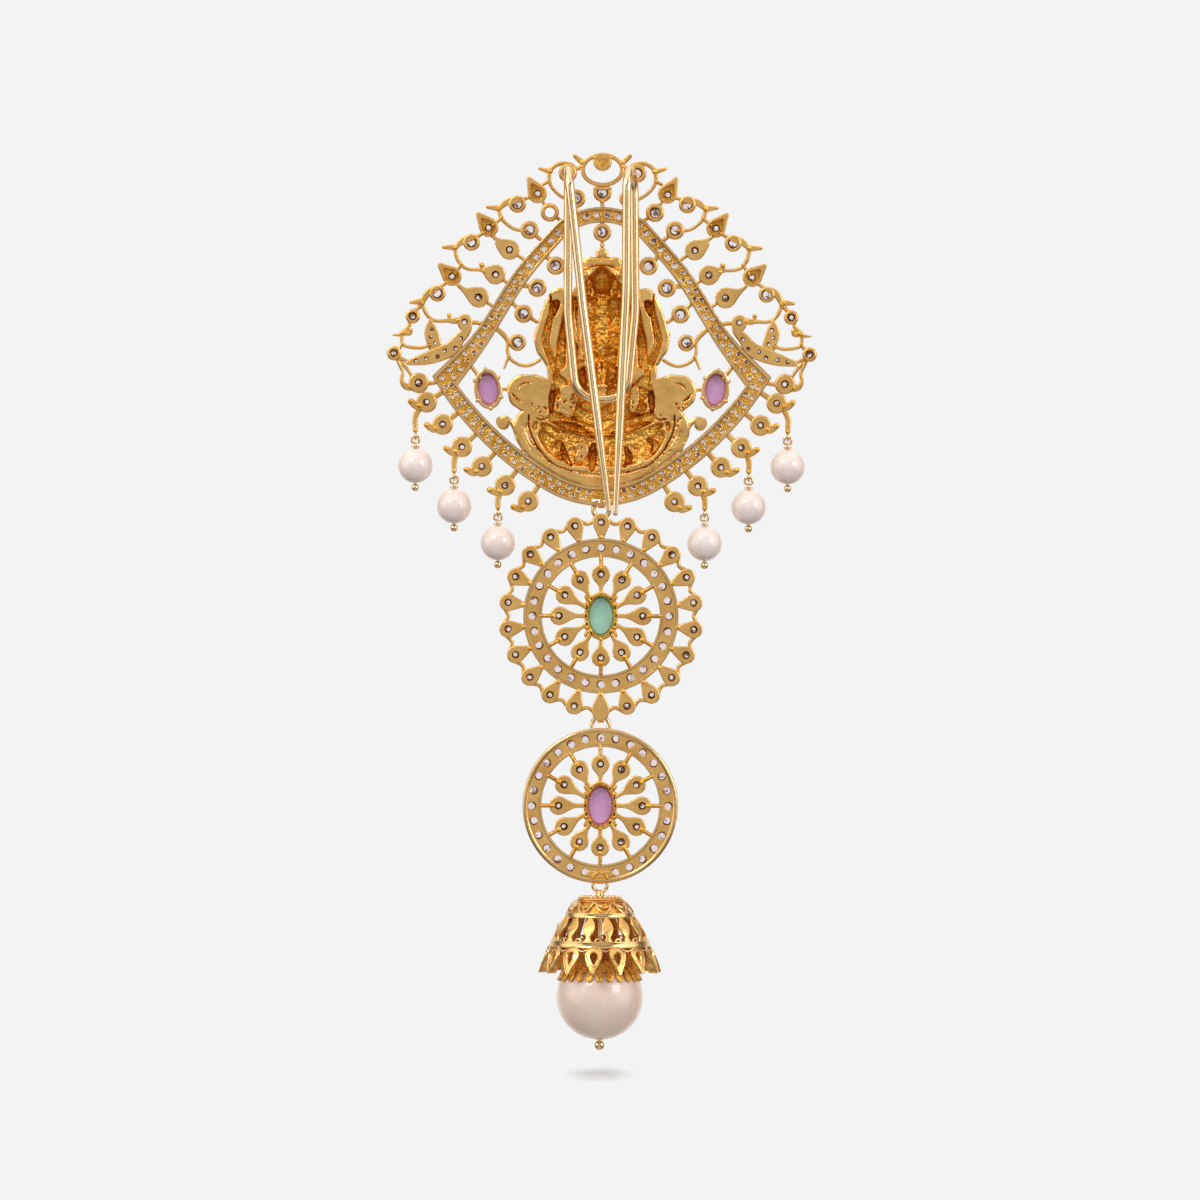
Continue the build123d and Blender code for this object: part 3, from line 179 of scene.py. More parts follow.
def noise(tree, scale, detail=3.0, roughness=0.5):
    """Noise over the object's own coordinates, with a scale in waves per millimetre."""
    where = tree.nodes.new("ShaderNodeTexCoord")
    texture = add_node(tree, "ShaderNodeTexNoise", {
        "Scale": scale / MM, "Detail": detail, "Roughness": roughness, "Vector": where.outputs["Object"]})
    return texture.outputs["Fac"]


def ramp(tree, value, stops):
    node = tree.nodes.new("ShaderNodeValToRGB")
    node.color_ramp.elements[0].position = stops[0][0]
    node.color_ramp.elements[0].color = (*stops[0][1], 1)
    node.color_ramp.elements[1].position = stops[-1][0]
    node.color_ramp.elements[1].color = (*stops[-1][1], 1)
    for place, colour in stops[1:-1]:
        node.color_ramp.elements.new(place).color = (*colour, 1)
    tree.links.new(value, node.inputs["Fac"])
    return node.outputs["Color"]


def spread(tree, value, low, high, first=0.3, last=0.7, eased_ends=False):
    """A value's range from first to last, spread from low to high."""
    node = add_node(tree, "ShaderNodeMapRange", {
        "Value": value, "From Min": first, "From Max": last, "To Min": low, "To Max": high})
    if eased_ends:
        node.interpolation_type = "SMOOTHSTEP"
    return node.outputs["Result"]


def bump(tree, shader, layers):
    """Bump from layers of (value, height in millimetres), one over the other."""
    under = {}
    for value, height in layers:
        node = add_node(tree, "ShaderNodeBump", {
            "Strength": 1.0, "Distance": height * MM, "Height": value, **under})
        under = {"Normal": node.outputs["Normal"]}
    set_inputs(tree, shader, under)


def gold(name, light, dark, gloss, grain, swell):
    """Gold alloy: tone and gloss drift a little, with fine grain over a soft swell."""
    material, tree, shader = node_tree(name)
    tone = noise(tree, 0.35, 3.0, 0.6)
    set_inputs(tree, shader, {
        "Base Color": ramp(tree, tone, [(0.3, dark), (0.7, light)]),
        "Roughness": spread(tree, noise(tree, 1.3, 4.0, 0.6), *gloss),
        "Metallic": 1.0,
    })
    bump(tree, shader, [(noise(tree, 1.1, 2.0), swell), (noise(tree, 7.0, 4.0, 0.65), grain)])
    return material


cast_gold = gold("cast_gold", (0.96, 0.60, 0.21), (0.80, 0.45, 0.13), (0.22, 0.36), 0.026, 0.07)
polished_gold = gold("polished_gold", (0.95, 0.72, 0.44), (0.88, 0.62, 0.34), (0.08, 0.16), 0.003, 0.02)
rail_gold = gold("rail_gold", (0.88, 0.58, 0.26), (0.76, 0.46, 0.18), (0.14, 0.26), 0.008, 0.03)
# A darker, more orange copy of the cast gold, with a coarser grain. On leaf hollows, the band's sunken floor,
# the bell's lining, the figure's rough hollows, the solder, spokes, settings and the pearl's cap, its colour
# paints the shade that falls in and behind them.
painted_shade_gold = gold("painted_shade_gold", (0.95, 0.54, 0.12), (0.70, 0.33, 0.04), (0.16, 0.34), 0.06, 0.16)


def nacre(name, body, warm, blush):
    """Pearl: a soft body colour under a warm tinted coat, which deepens where it is seen aslant."""
    material, tree, shader = node_tree(name)
    set_inputs(tree, shader, {
        "Base Color": ramp(tree, noise(tree, 0.22, 2.0), [(0.35, body), (0.65, warm)]),
        "Roughness": spread(tree, noise(tree, 0.9, 3.0), 0.20, 0.30),
        "Coat Weight": 0.7,
        "Coat Roughness": 0.10,
        "Coat Tint": (*blush, 1),
        "Specular IOR Level": 0.6,
        "Subsurface Weight": 0.12,
        "Subsurface Radius": (0.0008, 0.0005, 0.0004),
    })
    bump(tree, shader, [(noise(tree, 0.6, 2.0), 0.02)])
    return material


pearl_white = nacre("pearl_white", (0.98, 0.90, 0.91), (0.96, 0.86, 0.84), (0.98, 0.88, 0.80))
pearl_large = nacre("pearl_large", (0.96, 0.88, 0.90), (0.92, 0.80, 0.78), (0.96, 0.80, 0.64))


def gem(name, light, dark, clarity, roughness, patches=0.5, edge=(0.3, 0.7)):
    """A cut stone: its colour goes from a light to a dark tone in patches, and part of the light passes
    through.
    """
    material, tree, shader = node_tree(name)
    set_inputs(tree, shader, {
        "Base Color": ramp(tree, noise(tree, patches, 2.0), [(edge[0], dark), (edge[1], light)]),
        "Transmission Weight": clarity,
        "Roughness": roughness,
        "IOR": 1.9,
    })
    bump(tree, shader, [(noise(tree, 2.0, 2.0), 0.002)])
    return material


# The clear and rim stones' dark brown patches are painted shade and reflection: the dark crescents that their
# facets show.
clear_gem = gem("clear_stone", (1.0, 0.94, 0.98), (0.18, 0.09, 0.06), 0.08, 0.05, 1.5, (0.42, 0.47))
rim_gem = gem("rim_stone", (0.96, 0.85, 0.93), (0.40, 0.25, 0.20), 0.08, 0.08, 1.3, (0.36, 0.42))
lilac_gem = gem("lilac_stone", (0.80, 0.42, 0.82), (0.68, 0.30, 0.70), 0.10, 0.18)
green_gem = gem("green_stone", (0.42, 0.82, 0.66), (0.32, 0.70, 0.54), 0.10, 0.18)
rose_gem = gem("rose_stone", (0.82, 0.62, 0.72), (0.50, 0.30, 0.38), 0.25, 0.05, 1.2, (0.40, 0.55))


# Mesh tools. A form holds its points in millimetres and its faces.

Form = namedtuple("Form", "points faces")


def joined(forms):
    points, faces, start = [], [], 0
    for form in forms:
        points.append(form.points)
        faces += [[n + start for n in face] for face in form.faces]
        start += len(form.points)
    return Form(np.vstack(points), faces)


def mirrored(form):
    return Form(form.points * (-1, 1, 1), [face[::-1] for face in form.faces])


def placed(form, matrix):
    points = form.points @ np.array(matrix.to_3x3()).T + np.array(matrix.translation)
    return Form(points, form.faces)


def loft(rings, along=False):
    """Four-sided faces between closed rings of the same number of points."""
    rings = np.array(rings, float)
    rows, columns = rings.shape[:2]
    faces = []
    for i in range(rows if along else rows - 1):
        j = (i + 1) % rows
        for m in range(columns):
            n = (m + 1) % columns
            faces.append([i * columns + m, i * columns + n, j * columns + n, j * columns + m])
    return Form(rings.reshape(-1, 3), faces)


def at_depth(loop, y):
    loop = np.array(loop, float)
    return np.stack([loop[:, 0], np.full(len(loop), y), loop[:, 1]], 1)


def plate(outline, back, front, holes=(), bevel=0.1):
    """A plate of an outline, which gives its loop at an inset, pierced by rings from back to front."""
    edge = [(bevel, 0), (0.3 * bevel, 0.3 * bevel), (0, bevel)]
    rings = [(outline(inset), back + depth) for inset, depth in edge]
    rings += [(outline(inset), front - depth) for inset, depth in reversed(edge)]
    walls = [loft([at_depth(loop, y) for loop, y in rows]) for rows in [rings, *holes]]
    form = joined(walls)
    starts = np.cumsum([0] + [len(wall.points) for wall in walls])
    for first in (True, False):
        loops, numbers = [], []
        for wall, start, rows in zip(walls, starts, [rings, *holes]):
            count = len(rows[0][0])
            low = 0 if first else len(wall.points) - count
            numbers += range(start + low, start + low + count)
            loops.append([Vector(p) for p in wall.points[low:low + count]])
        flat = [[Vector((p.x, p.z, 0)) for p in loop] for loop in loops]
        corners = tessellate(flat)
        form.faces.extend([[numbers[n] for n in corner] for corner in corners])
    return form


def lathe(profile, centre, axis="Y", steps=24, closed=False):
    """A surface of revolution from points of radius and height along an axis."""
    rings = []
    for radius, height in profile:
        turns = 2 * np.pi * np.arange(steps) / steps
        a, b = radius * np.cos(turns), radius * np.sin(turns)
        level = np.full(steps, height)
        rings.append(np.stack([a, level, b] if axis == "Y" else [a, b, level], 1))
    form = loft(rings, along=closed)
    return Form(form.points + np.array(centre), form.faces)


def tube(path, radius, sides=10, closed=False):
    """A round wire along points, with a radius or one for each, and round ends."""
    path = np.array(path, float)
    radii = np.full(len(path), radius) if np.isscalar(radius) else np.array(radius, float)
    if not closed:
        first, last = path[0] - path[1], path[-1] - path[-2]
        first, last = first / np.linalg.norm(first), last / np.linalg.norm(last)
        shares = [(0.99, 0.06), (0.85, 0.52), (0.5, 0.86)]
        head = [path[0] + first * radii[0] * out for out, _ in shares]
        tail = [path[-1] + last * radii[-1] * out for out, _ in reversed(shares)]
        sizes = [radii[0] * size for _, size in shares]
        end_sizes = [radii[-1] * size for _, size in reversed(shares)]
        path = np.vstack([head, path, tail])
        radii = np.concatenate([sizes, radii, end_sizes])
    count = len(path)
    if closed:
        runs = np.roll(path, -1, 0) - np.roll(path, 1, 0)
    else:
        runs = np.gradient(path, axis=0)
    runs /= np.linalg.norm(runs, axis=1)[:, None]
    side = np.cross(runs[0], (0.123, 0.877, 0.431))
    rings = []
    for n in range(count):
        side = side - runs[n] * np.dot(side, runs[n])
        side /= np.linalg.norm(side)
        up = np.cross(runs[n], side)
        turns = 2 * np.pi * np.arange(sides) / sides
        rings.append(path[n] + radii[n] * (np.outer(np.cos(turns), side) + np.outer(np.sin(turns), up)))
    form = loft(rings, along=closed)
    if not closed:
        form.faces.append(list(range(sides))[::-1])
        form.faces.append(list(range((count - 1) * sides, count * sides)))
    return form


def wire_ring(centre, radius, wire, axis, steps=36):
    """A ring of round wire whose axis is X, Y or Z, with an even number of steps."""
    turns = 2 * np.pi * np.arange(steps) / steps
    a, b, zero = radius * np.cos(turns), radius * np.sin(turns), np.zeros(steps)
    rows = {"X": [zero, a, b], "Y": [a, zero, b], "Z": [a, b, zero]}[axis]
    return tube(np.stack(rows, 1) + np.array(centre), wire, 12, closed=True)


def ball(centre, radius, steps=12):
    turns = np.linspace(0, np.pi, steps // 2 + 1)[1:-1]
    profile = [(radius * math.sin(t), radius * math.cos(t)) for t in turns]
    form = lathe(profile, centre, "Z", steps)
    form.faces.append(list(range(steps))[::-1])
    form.faces.append(list(range(len(form.points) - steps, len(form.points))))
    return form


def build(name, forms, material, body, nodes=(), sharp=50.0, faceted=False):
    """One piece of the model from forms, riding on a body, and standing for CAD nodes."""
    whole = joined(forms)
    mesh = bpy.data.meshes.new(name)
    mesh.from_pydata((whole.points * MM).tolist(), [], [list(map(int, face)) for face in whole.faces])
    shape = bmesh.new()
    shape.from_mesh(mesh)
    bmesh.ops.recalc_face_normals(shape, faces=shape.faces)
    shape.to_mesh(mesh)
    shape.free()
    mesh.materials.append(material)
    piece = bpy.data.objects.new(name, mesh)
    bpy.context.scene.collection.objects.link(piece)
    if faceted:
        mesh.shade_flat()
    else:
        mesh.shade_smooth()
        mesh.set_sharp_from_angle(angle=math.radians(sharp))
        for face in mesh.polygons:
            face.use_smooth = abs(face.normal.y) < 0.9999
        normals = piece.modifiers.new("even_normals", "WEIGHTED_NORMAL")
        normals.keep_sharp = True
    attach(piece, body)
    if nodes:
        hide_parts(*nodes)
    return piece


# Outlines: each gives a closed loop of points in X and Z at an inset from its edge


def step(p, angle, length):
    """The point at a distance from p, at an angle in degrees from +X towards +Z."""
    turn = math.radians(angle)
    return (p[0] + length * math.cos(turn), p[1] + length * math.sin(turn))


def between(p, q, share):
    return (p[0] + (q[0] - p[0]) * share, p[1] + (q[1] - p[1]) * share)


def smooth(rows, steps):
    """A smooth line through rows of numbers, with some steps from each row to the next."""
    rows = np.array(rows, float)
    ends = np.vstack([2 * rows[0] - rows[1], rows, 2 * rows[-1] - rows[-2]])
    line = []
    for n in range(len(rows) - 1):
        a, b, c, d = ends[n:n + 4]
        for t in np.arange(steps) / steps:
            line.append(0.5 * (2 * b + (c - a) * t + (2 * a - 5 * b + 4 * c - d) * t ** 2
                               + (3 * b - a - 3 * c + d) * t ** 3))
    line.append(rows[-1])
    return np.array(line)


def ribbon(rows, steps=5):
    """The outline round circles that follow a smooth line of (across, up, radius)."""
    spine = smooth(rows, steps)
    arc_steps = 9 if max(spine[0, 2], spine[-1, 2]) > 0.45 else 5

    def loop(inset):
        radii = np.maximum(spine[:, 2] - inset, spine[:, 2] * 0.2)
        middle = spine[:, :2]
        run = np.gradient(middle, axis=0)
        length = np.linalg.norm(run, axis=1)
        lean = np.arctan2(run[:, 1], run[:, 0])
        flare = np.arccos(-np.clip(np.gradient(radii) / length, -0.93, 0.93))
        left = [step(p, math.degrees(a + f), r) for p, a, f, r in zip(middle, lean, flare, radii)]
        right = [step(p, math.degrees(a - f), r) for p, a, f, r in zip(middle, lean, flare, radii)]
        end = [step(middle[-1], math.degrees(lean[-1] + flare[-1] * t), radii[-1])
               for t in np.linspace(1, -1, arc_steps)[1:-1]]
        back = 2 * np.pi - flare[0]
        start = [step(middle[0], math.degrees(lean[0] + t), radii[0])
                 for t in np.linspace(-flare[0], -back, arc_steps)[1:-1]]
        return left + end + right[::-1] + start

    return loop


def circle(p, radius, steps=20):
    return [step(p, 360 * n / steps, radius) for n in range(steps)]


def round_outline(p, radius):
    return lambda inset: circle(p, radius - inset, 28)


def oval(p, half_x, half_z, tilt=0.0, steps=40):
    turns = 2 * np.pi * np.arange(steps) / steps
    lean = math.radians(tilt)
    a, b = half_x * np.cos(turns), half_z * np.sin(turns)
    return [(p[0] + u * math.cos(lean) - v * math.sin(lean), p[1] + u * math.sin(lean) + v * math.cos(lean))
            for u, v in zip(a, b)]


def bore(p, back_radius, front_radius, back, front, seat, bevel=0.05, steps=16):
    """A round hole from the back that widens into a stone's pocket at the front."""
    return [
        (circle(p, back_radius + bevel, steps), back),
        (circle(p, back_radius, steps), back + bevel),
        (circle(p, back_radius * 0.96, steps), seat),
        (circle(p, front_radius, steps), seat),
        (circle(p, front_radius, steps), front),
    ]


# Castings


def cut_gem(half_x, half_z, sides, crown, pavilion, table, flat):
    """A cut stone about its girdle's middle: its table towards +Y, its flat back a share of its size."""
    girdle = half_x * 0.05
    levels = [
        (table, girdle + crown, 0.0), (0.84, girdle + crown * 0.52, 0.5), (1.0, girdle, 0.0),
        (1.0, -girdle, 0.0), (flat * 1.08, -girdle - pavilion * 0.7, 0.5), (flat, -girdle - pavilion, 0.0),
    ]
    points, faces = [], []
    for share, y, offset in levels:
        for n in range(sides):
            turn = 2 * math.pi * (n + offset) / sides
            points.append((half_x * share * math.cos(turn), y, half_z * share * math.sin(turn)))
    points.append((0, -girdle - pavilion, 0))
    faces.append(list(range(sides)))
    for row in range(len(levels) - 1):
        shifted = levels[row + 1][2] - levels[row][2]
        for n in range(sides):
            m = (n + 1) % sides
            a, b = row * sides + n, row * sides + m
            c, d = (row + 1) * sides + n, (row + 1) * sides + m
            if shifted == 0:
                faces.append([a, b, d, c])
            elif shifted > 0:
                faces += [[a, b, c], [b, d, c]]
            else:
                faces += [[a, d, c], [a, b, d]]
    last = len(levels) - 1
    for n in range(sides):
        faces.append([last * sides + n, last * sides + (n + 1) % sides, len(points) - 1])
    return Form(np.array(points, float), faces)


gem_lean = 5
beads_a_stone = 4


def round_gem(radius, reach, flat=0.8):
    return cut_gem(radius, radius, 8, radius * 0.34, reach, 0.56, flat)


def gem_at(p, radius, y, back, flat=0.8):
    """A round stone turned by chance and leaning by a few degrees, its flat back close to the metal's."""
    lean = Matrix.Rotation(math.radians(dice.uniform(-gem_lean, gem_lean)), 4, "X")
    lean = lean @ Matrix.Rotation(math.radians(dice.uniform(-gem_lean, gem_lean)), 4, "Z")
    spin = Matrix.Rotation(dice.uniform(0, 1.5), 4, "Y")
    return placed(round_gem(radius, y - back - 0.25, flat), Matrix.Translation((p[0], y, p[1])) @ lean @ spin)


class Casting:
    """Pieces soldered into one flat casting: satin faces, worked hollows in a darker gold that paints their
    shade, stones and their beads.
    """

    def __init__(self, front):
        self.front = front
        self.metal = []
        self.hollow = []
        self.solder = []
        self.seats = []

    def wire(self, *rows, deeper=0.25, lower=0.15):
        """A cast wire through circles of (across, up, radius), a little inside the plates' faces."""
        bevel = min(0.16, 0.55 * max(row[2] for row in rows))
        self.metal.append(plate(ribbon(rows, 4), plate_back + deeper, self.front - lower, bevel=bevel))
        for x, z, radius in (rows[0], rows[-1]):
            if radius > 0.2:
                self.solder.append(ball((x, plate_back + deeper + 0.1, z), min(radius * 1.1, 0.42), 8))

    def seat(self, p, stone, front=None):
        self.seats.append((p, stone, front or self.front))

    def collet(self, p, radius, stone, open_share=0.94, deeper=0.0):
        back = plate_back + deeper
        hole = bore(p, stone * open_share, stone + 0.05, back, self.front, self.front - stone * 0.55, 0.1)
        self.metal.append(plate(round_outline(p, radius), back, self.front, [hole], 0.2))
        self.seat(p, stone)

    def petal(self, p, stone, *rows):
        """A flat shape with a small opening behind its stone."""
        hole = bore(p, stone * 0.88, stone + 0.05, plate_back, self.front, self.front - stone * 0.55, 0.07)
        self.metal.append(plate(ribbon(rows), plate_back, self.front, [hole], 0.14))
        self.seat(p, stone)

    def both_sides(self, left):
        for whole, half in ((self.metal, left.metal), (self.hollow, left.hollow), (self.solder, left.solder)):
            whole += half + [mirrored(form) for form in half]
        self.seats += left.seats + [((-p[0], p[1]), stone, front) for p, stone, front in left.seats]

    def gems(self):
        """The stones: the smallest show more of their sloping sides at the back."""
        stones = []
        for p, stone, front in self.seats:
            flat = 0.5 if stone <= small_stone_radius else 0.76
            stones.append(gem_at(p, stone, front - stone * 0.25, plate_back, flat))
        return stones

    def beads(self):
        """The small beads of metal that hold each stone at the front."""
        beads = []
        for p, stone, front in self.seats:
            for n in range(beads_a_stone):
                q = step(p, 45 + 360 * n / beads_a_stone, stone * 0.98)
                beads.append(ball((q[0], front + 0.02, q[1]), stone * 0.2, 6))
        return beads


# Crest band


def band_line(share):
    """The closed line round the band at a share of its width: 0 outside, 1 inside."""
    arch = arch_radius - share * band_top_width
    lean = math.degrees(math.asin(arch_half_span / arch_radius))
    left = [step((0, arch_z), 90 + lean * n / 14, arch) for n in range(14)]
    shoulder = step((0, arch_z), 90 + lean, arch)
    outer_shoulder = step((0, arch_z), 90 + lean, arch_radius)
    run = (band_corner[0] - outer_shoulder[0], band_corner[1] - outer_shoulder[1])
    side_angle = math.degrees(math.atan2(run[1], run[0]))
    side = [shoulder]
    for along, out, width in ((0.32, 0.14, 0.97), (0.70, -0.32, 1.06)):
        p = between(outer_shoulder, band_corner, along)
        side.append(step(p, side_angle - 90, (out - share * width) * band_side_width))
    corner = step(band_corner, -band_corner_lean, share * band_corner_width)
    side.append(corner)
    left += [tuple(p) for p in smooth(side, 14)]
    keel = keel_radius - share * band_bottom_width
    keel_centre = (0, band_bottom_z + keel_radius)
    keel_end = step(keel_centre, 270 - keel_turn, keel)
    left += list(reversed(tangent_arc(keel_end, 180 - keel_turn, corner, 44)))[1:]
    left += [step(keel_centre, 270 - keel_turn * (1 - n / 12), keel) for n in range(1, 13)]
    right = [(-p[0], p[1]) for p in left[1:-1]]
    return left + right[::-1]


def tangent_arc(start, angle, end, steps):
    """Points on the arc that leaves a point at an angle and ends at another point."""
    normal = step((0, 0), angle + 90, 1)
    chord = (end[0] - start[0], end[1] - start[1])
    radius = (chord[0] ** 2 + chord[1] ** 2) / (2 * (chord[0] * normal[0] + chord[1] * normal[1]))
    centre = (start[0] + normal[0] * radius, start[1] + normal[1] * radius)
    first = math.atan2(start[1] - centre[1], start[0] - centre[0])
    last = math.atan2(end[1] - centre[1], end[0] - centre[0])
    turn = (last - first + math.pi) % (2 * math.pi) - math.pi
    return [step(centre, math.degrees(first + turn * n / steps), abs(radius)) for n in range(steps + 1)]


def band_places():
    """The outer and inner lines of the band's left half, and the length of its middle from the apex."""
    outer, inner = np.array(band_line(0)), np.array(band_line(1))
    half = len(outer) // 2 + 1
    middle = (outer[:half] + inner[:half]) / 2
    lengths = np.concatenate([[0], np.cumsum(np.linalg.norm(np.diff(middle, axis=0), axis=1))])
    return outer[:half], inner[:half], lengths


band_single_share = 0.22
band_pitch = 1.56
band_stone = 0.58
band_pair_stone = 0.44
band_pair_shares = (0.33, 0.67)
band_link_room = 1.42
band_link_room_top = 0.42


def band_seats():
    """Stones of the crest's band: one row over the arch, then two rows set between each other."""
    outer, inner, lengths = band_places()
    total = lengths[-1]
    seats = []

    def spot(length, share):
        o = [np.interp(length, lengths, outer[:, n]) for n in (0, 1)]
        i = [np.interp(length, lengths, inner[:, n]) for n in (0, 1)]
        return between(o, i, share)

    length = band_pitch / 2
    while length < total * band_single_share:
        seats.append((spot(length, 0.5), band_stone))
        length += band_pitch
    while length < total - band_pitch * 0.3:
        for row, share in enumerate(band_pair_shares):
            place = length + row * band_pitch / 2
            p = spot(place, share)
            above_link = row == 0 and p[0] > -band_link_room - 0.6
            if place < total - band_pitch * 0.3 and not above_link:
                seats.append((p, band_pair_stone))
        length += band_pitch
    return seats


def rail(first, last, back, front):
    """A polished rail round the band between two shares of its width."""
    middle, half = (first + last) / 2, (last - first) / 2
    rows = [(-1, 0.28), (-0.75, 0.07), (0, 0.0), (0.75, 0.07), (1, 0.28)]
    profile = [(middle + half * a, back + d) for a, d in rows]
    profile += [(middle + half * a, front - d) for a, d in reversed(rows)]
    return loft([at_depth(band_line(share), y) for share, y in profile], along=True)


def make_band():
    rail_share = rail_width / band_side_width
    rails = [
        rail(0, rail_share, plate_back, plate_front),
        rail(1 - rail_share, 1, plate_back, plate_front),
    ]
    back, front = plate_back + channel_depth, plate_front - channel_depth
    half = len(band_line(0)) // 2 + 1
    # The floor leaves room at the bottom for the ring that swings there
    outer = band_line(rail_share * 0.5)[:half]
    outline = [p for p in outer if p[0] < -band_link_room or p[1] > band_corner[1]]
    room_top = band_bottom_z + link_1.hide + band_link_room_top
    outline += [(-band_link_room, outline[-1][1]), (-band_link_room, room_top), (0, room_top)]
    outline += band_line(1 - rail_share * 0.5)[half - 1::-1]
    holes, cells, gems, beads = [], [], [], []
    for p, stone in band_seats():
        holes.append(bore(p, stone * 0.82, stone + 0.03, back, front, front - stone * 0.6, 0.04, 12))
        for side in (1, -1):
            centre = (p[0] * side, back - 0.02, p[1])
            cells.append(wire_ring(centre, stone * 0.90, 0.11, "Y", 16))
            gems.append(gem_at((p[0] * side, p[1]), stone, front - stone * 0.2, back - 0.12))
            for turn in (45, 225):
                q = step((p[0] * side, p[1]), turn, stone * 1.02)
                beads.append(ball((q[0], front + 0.03, q[1]), stone * 0.26, 6))
    floor = plate(lambda inset: outline, back, front, holes, 0.0)
    return rails, joined([floor, mirrored(floor)]), cells, gems, beads


# Lattice beside the band


def along_band(along, out):
    lean = math.degrees(math.asin(arch_half_span / arch_radius))
    shoulder = step((0, arch_z), 90 + lean, arch_radius)
    run = (band_corner[0] - shoulder[0], band_corner[1] - shoulder[1])
    side_angle = math.degrees(math.atan2(run[1], run[0]))
    return step(between(shoulder, band_corner, along), side_angle - 90, out * lattice_reach)


def beside(along, out, radius):
    """A circle beside the band's left side, in shares of the side's length and the reach."""
    return (*along_band(along, out), radius)


def above(across, up, radius):
    """A circle above the band's top, in shares of the crown's reach."""
    return (across * crown_reach, band_top_z + up * crown_reach, radius)


def inside(across, down, radius):
    """A circle inside the band, in shares of its half width and its height."""
    return (across * band_half_width, band_top_z - down * band_height, radius)


leaf_floor = 0.85


def add_leaf(crest, centre, tip):
    """A pointed leaf: a thin wall round a hollow, with a stone at the bottom of it."""
    floor = plate_back + leaf_floor
    edge = ribbon([centre, tip], 8)
    hollow_tip = (*between(centre, tip, 0.62), 0.12)
    inner = ribbon([(centre[0], centre[1], centre[2] - leaf_wall), hollow_tip], 8)
    mouth = [(inner(-0.08), plate_back), (inner(0), plate_back + 0.08), (inner(0.04), floor)]
    crest.metal.append(plate(edge, plate_back, floor, [mouth], 0.14))
    p = centre[:2]
    hole = bore(p, small_stone_radius * 0.88, small_stone_radius + 0.05, floor - 0.01, crest.front,
                crest.front - small_stone_radius * 0.55, 0.05)
    # The hollow's floor is in the darker gold: painted shade at the bottom of the leaf.
    crest.hollow.append(plate(lambda inset: edge(inset + 0.03), floor - 0.01, crest.front, [hole], 0.1))
    crest.seat(p, small_stone_radius)


def add_scroll(crest, collet, thorn, arch, wire):
    crest.collet(collet[:2], collet[2], stone_radius)
    crest.wire(*[(x, z, radius * 1.6) for x, z, radius in thorn], deeper=0.1, lower=0.12)
    crest.wire(*arch, deeper=0.06, lower=0.15)
    crest.wire(*wire, lower=0.18)


def add_paisley(crest, centre, tail, peg):
    crest.petal(centre[:2], small_stone_radius, centre, *tail)
    crest.wire((*between(centre, peg, 0.5), fine_wire / 2), peg, deeper=0.4)


def lattice_left(crest):
    thick = lattice_wire * 0.8
    wire = lattice_wire / 2
    fine = fine_wire / 2
    add_leaf(crest, beside(-0.046, 0.56, collet_radius * 1.05), beside(-0.077, 0.83, 0.34))
    add_leaf(crest, beside(0.240, 0.83, collet_radius * 1.05), beside(0.222, 1.11, 0.34))
    add_leaf(crest, beside(0.547, 0.79, collet_radius * 1.05), beside(0.542, 1.07, 0.34))
    add_scroll(
        crest,
        beside(0.058, 0.71, collet_radius * 0.94),
        [beside(0.164, 1.06, 0.15), beside(0.133, 0.91, wire)],
        [beside(0.137, 0.90, wire), beside(0.086, 0.87, thick), beside(0.052, 0.78, thick),
         beside(0.024, 0.70, wire), beside(0.000, 0.64, fine)],
        [beside(0.137, 0.90, wire), beside(0.162, 0.77, wire), beside(0.169, 0.64, fine),
         beside(0.166, 0.50, fine), beside(0.149, 0.39, fine), beside(0.128, 0.31, fine)],
    )
    crest.collet(along_band(0.120, 0.28), collet_radius, stone_radius)
    crest.wire(beside(0.122, 0.14, wire), beside(0.122, -0.02, wire), deeper=0.35)
    crest.wire(beside(0.162, 0.77, fine), beside(0.215, 0.80, fine))
    add_scroll(
        crest,
        beside(0.353, 0.90, collet_radius * 0.92),
        [beside(0.461, 1.21, 0.15), beside(0.425, 1.06, wire)],
        [beside(0.427, 1.06, wire), beside(0.378, 1.03, thick), beside(0.344, 0.97, thick),
         beside(0.313, 0.89, wire), beside(0.280, 0.85, fine)],
        [beside(0.427, 1.06, wire), beside(0.462, 0.91, wire), beside(0.474, 0.76, fine),
         beside(0.464, 0.64, fine), beside(0.437, 0.52, fine), beside(0.425, 0.44, wire)],
    )
    crest.wire(beside(0.409, 0.53, wire * 1.3), beside(0.425, 0.43, wire), deeper=0.12)
    crest.wire(beside(0.470, 0.80, fine), beside(0.525, 0.78, fine))
    add_scroll(
        crest,
        beside(0.660, 0.80, collet_radius * 0.88),
        [beside(0.779, 1.05, 0.15), beside(0.744, 0.93, wire)],
        [beside(0.747, 0.89, wire), beside(0.700, 0.93, thick), beside(0.660, 0.90, thick),
         beside(0.627, 0.84, wire), beside(0.590, 0.80, fine)],
        [beside(0.750, 0.88, wire), beside(0.769, 0.77, wire), beside(0.779, 0.64, fine),
         beside(0.767, 0.51, fine), beside(0.730, 0.37, wire)],
    )
    add_paisley(
        crest,
        beside(0.261, 0.33, collet_radius * 1.1),
        [beside(0.267, 0.52, 0.7), beside(0.262, 0.60, 0.32), beside(0.262, 0.72, 0.26)],
        beside(0.251, -0.02, fine),
    )
    add_paisley(
        crest,
        beside(0.402, 0.25, collet_radius * 1.1),
        [beside(0.420, 0.42, 0.5)],
        beside(0.394, -0.06, fine),
    )
    add_paisley(
        crest,
        beside(0.544, 0.23, collet_radius * 1.15),
        [beside(0.561, 0.46, 0.48), beside(0.562, 0.62, 0.26)],
        beside(0.532, -0.10, fine),
    )
    bird_left(crest)
    corner_left(crest)


bird_stone = 0.42


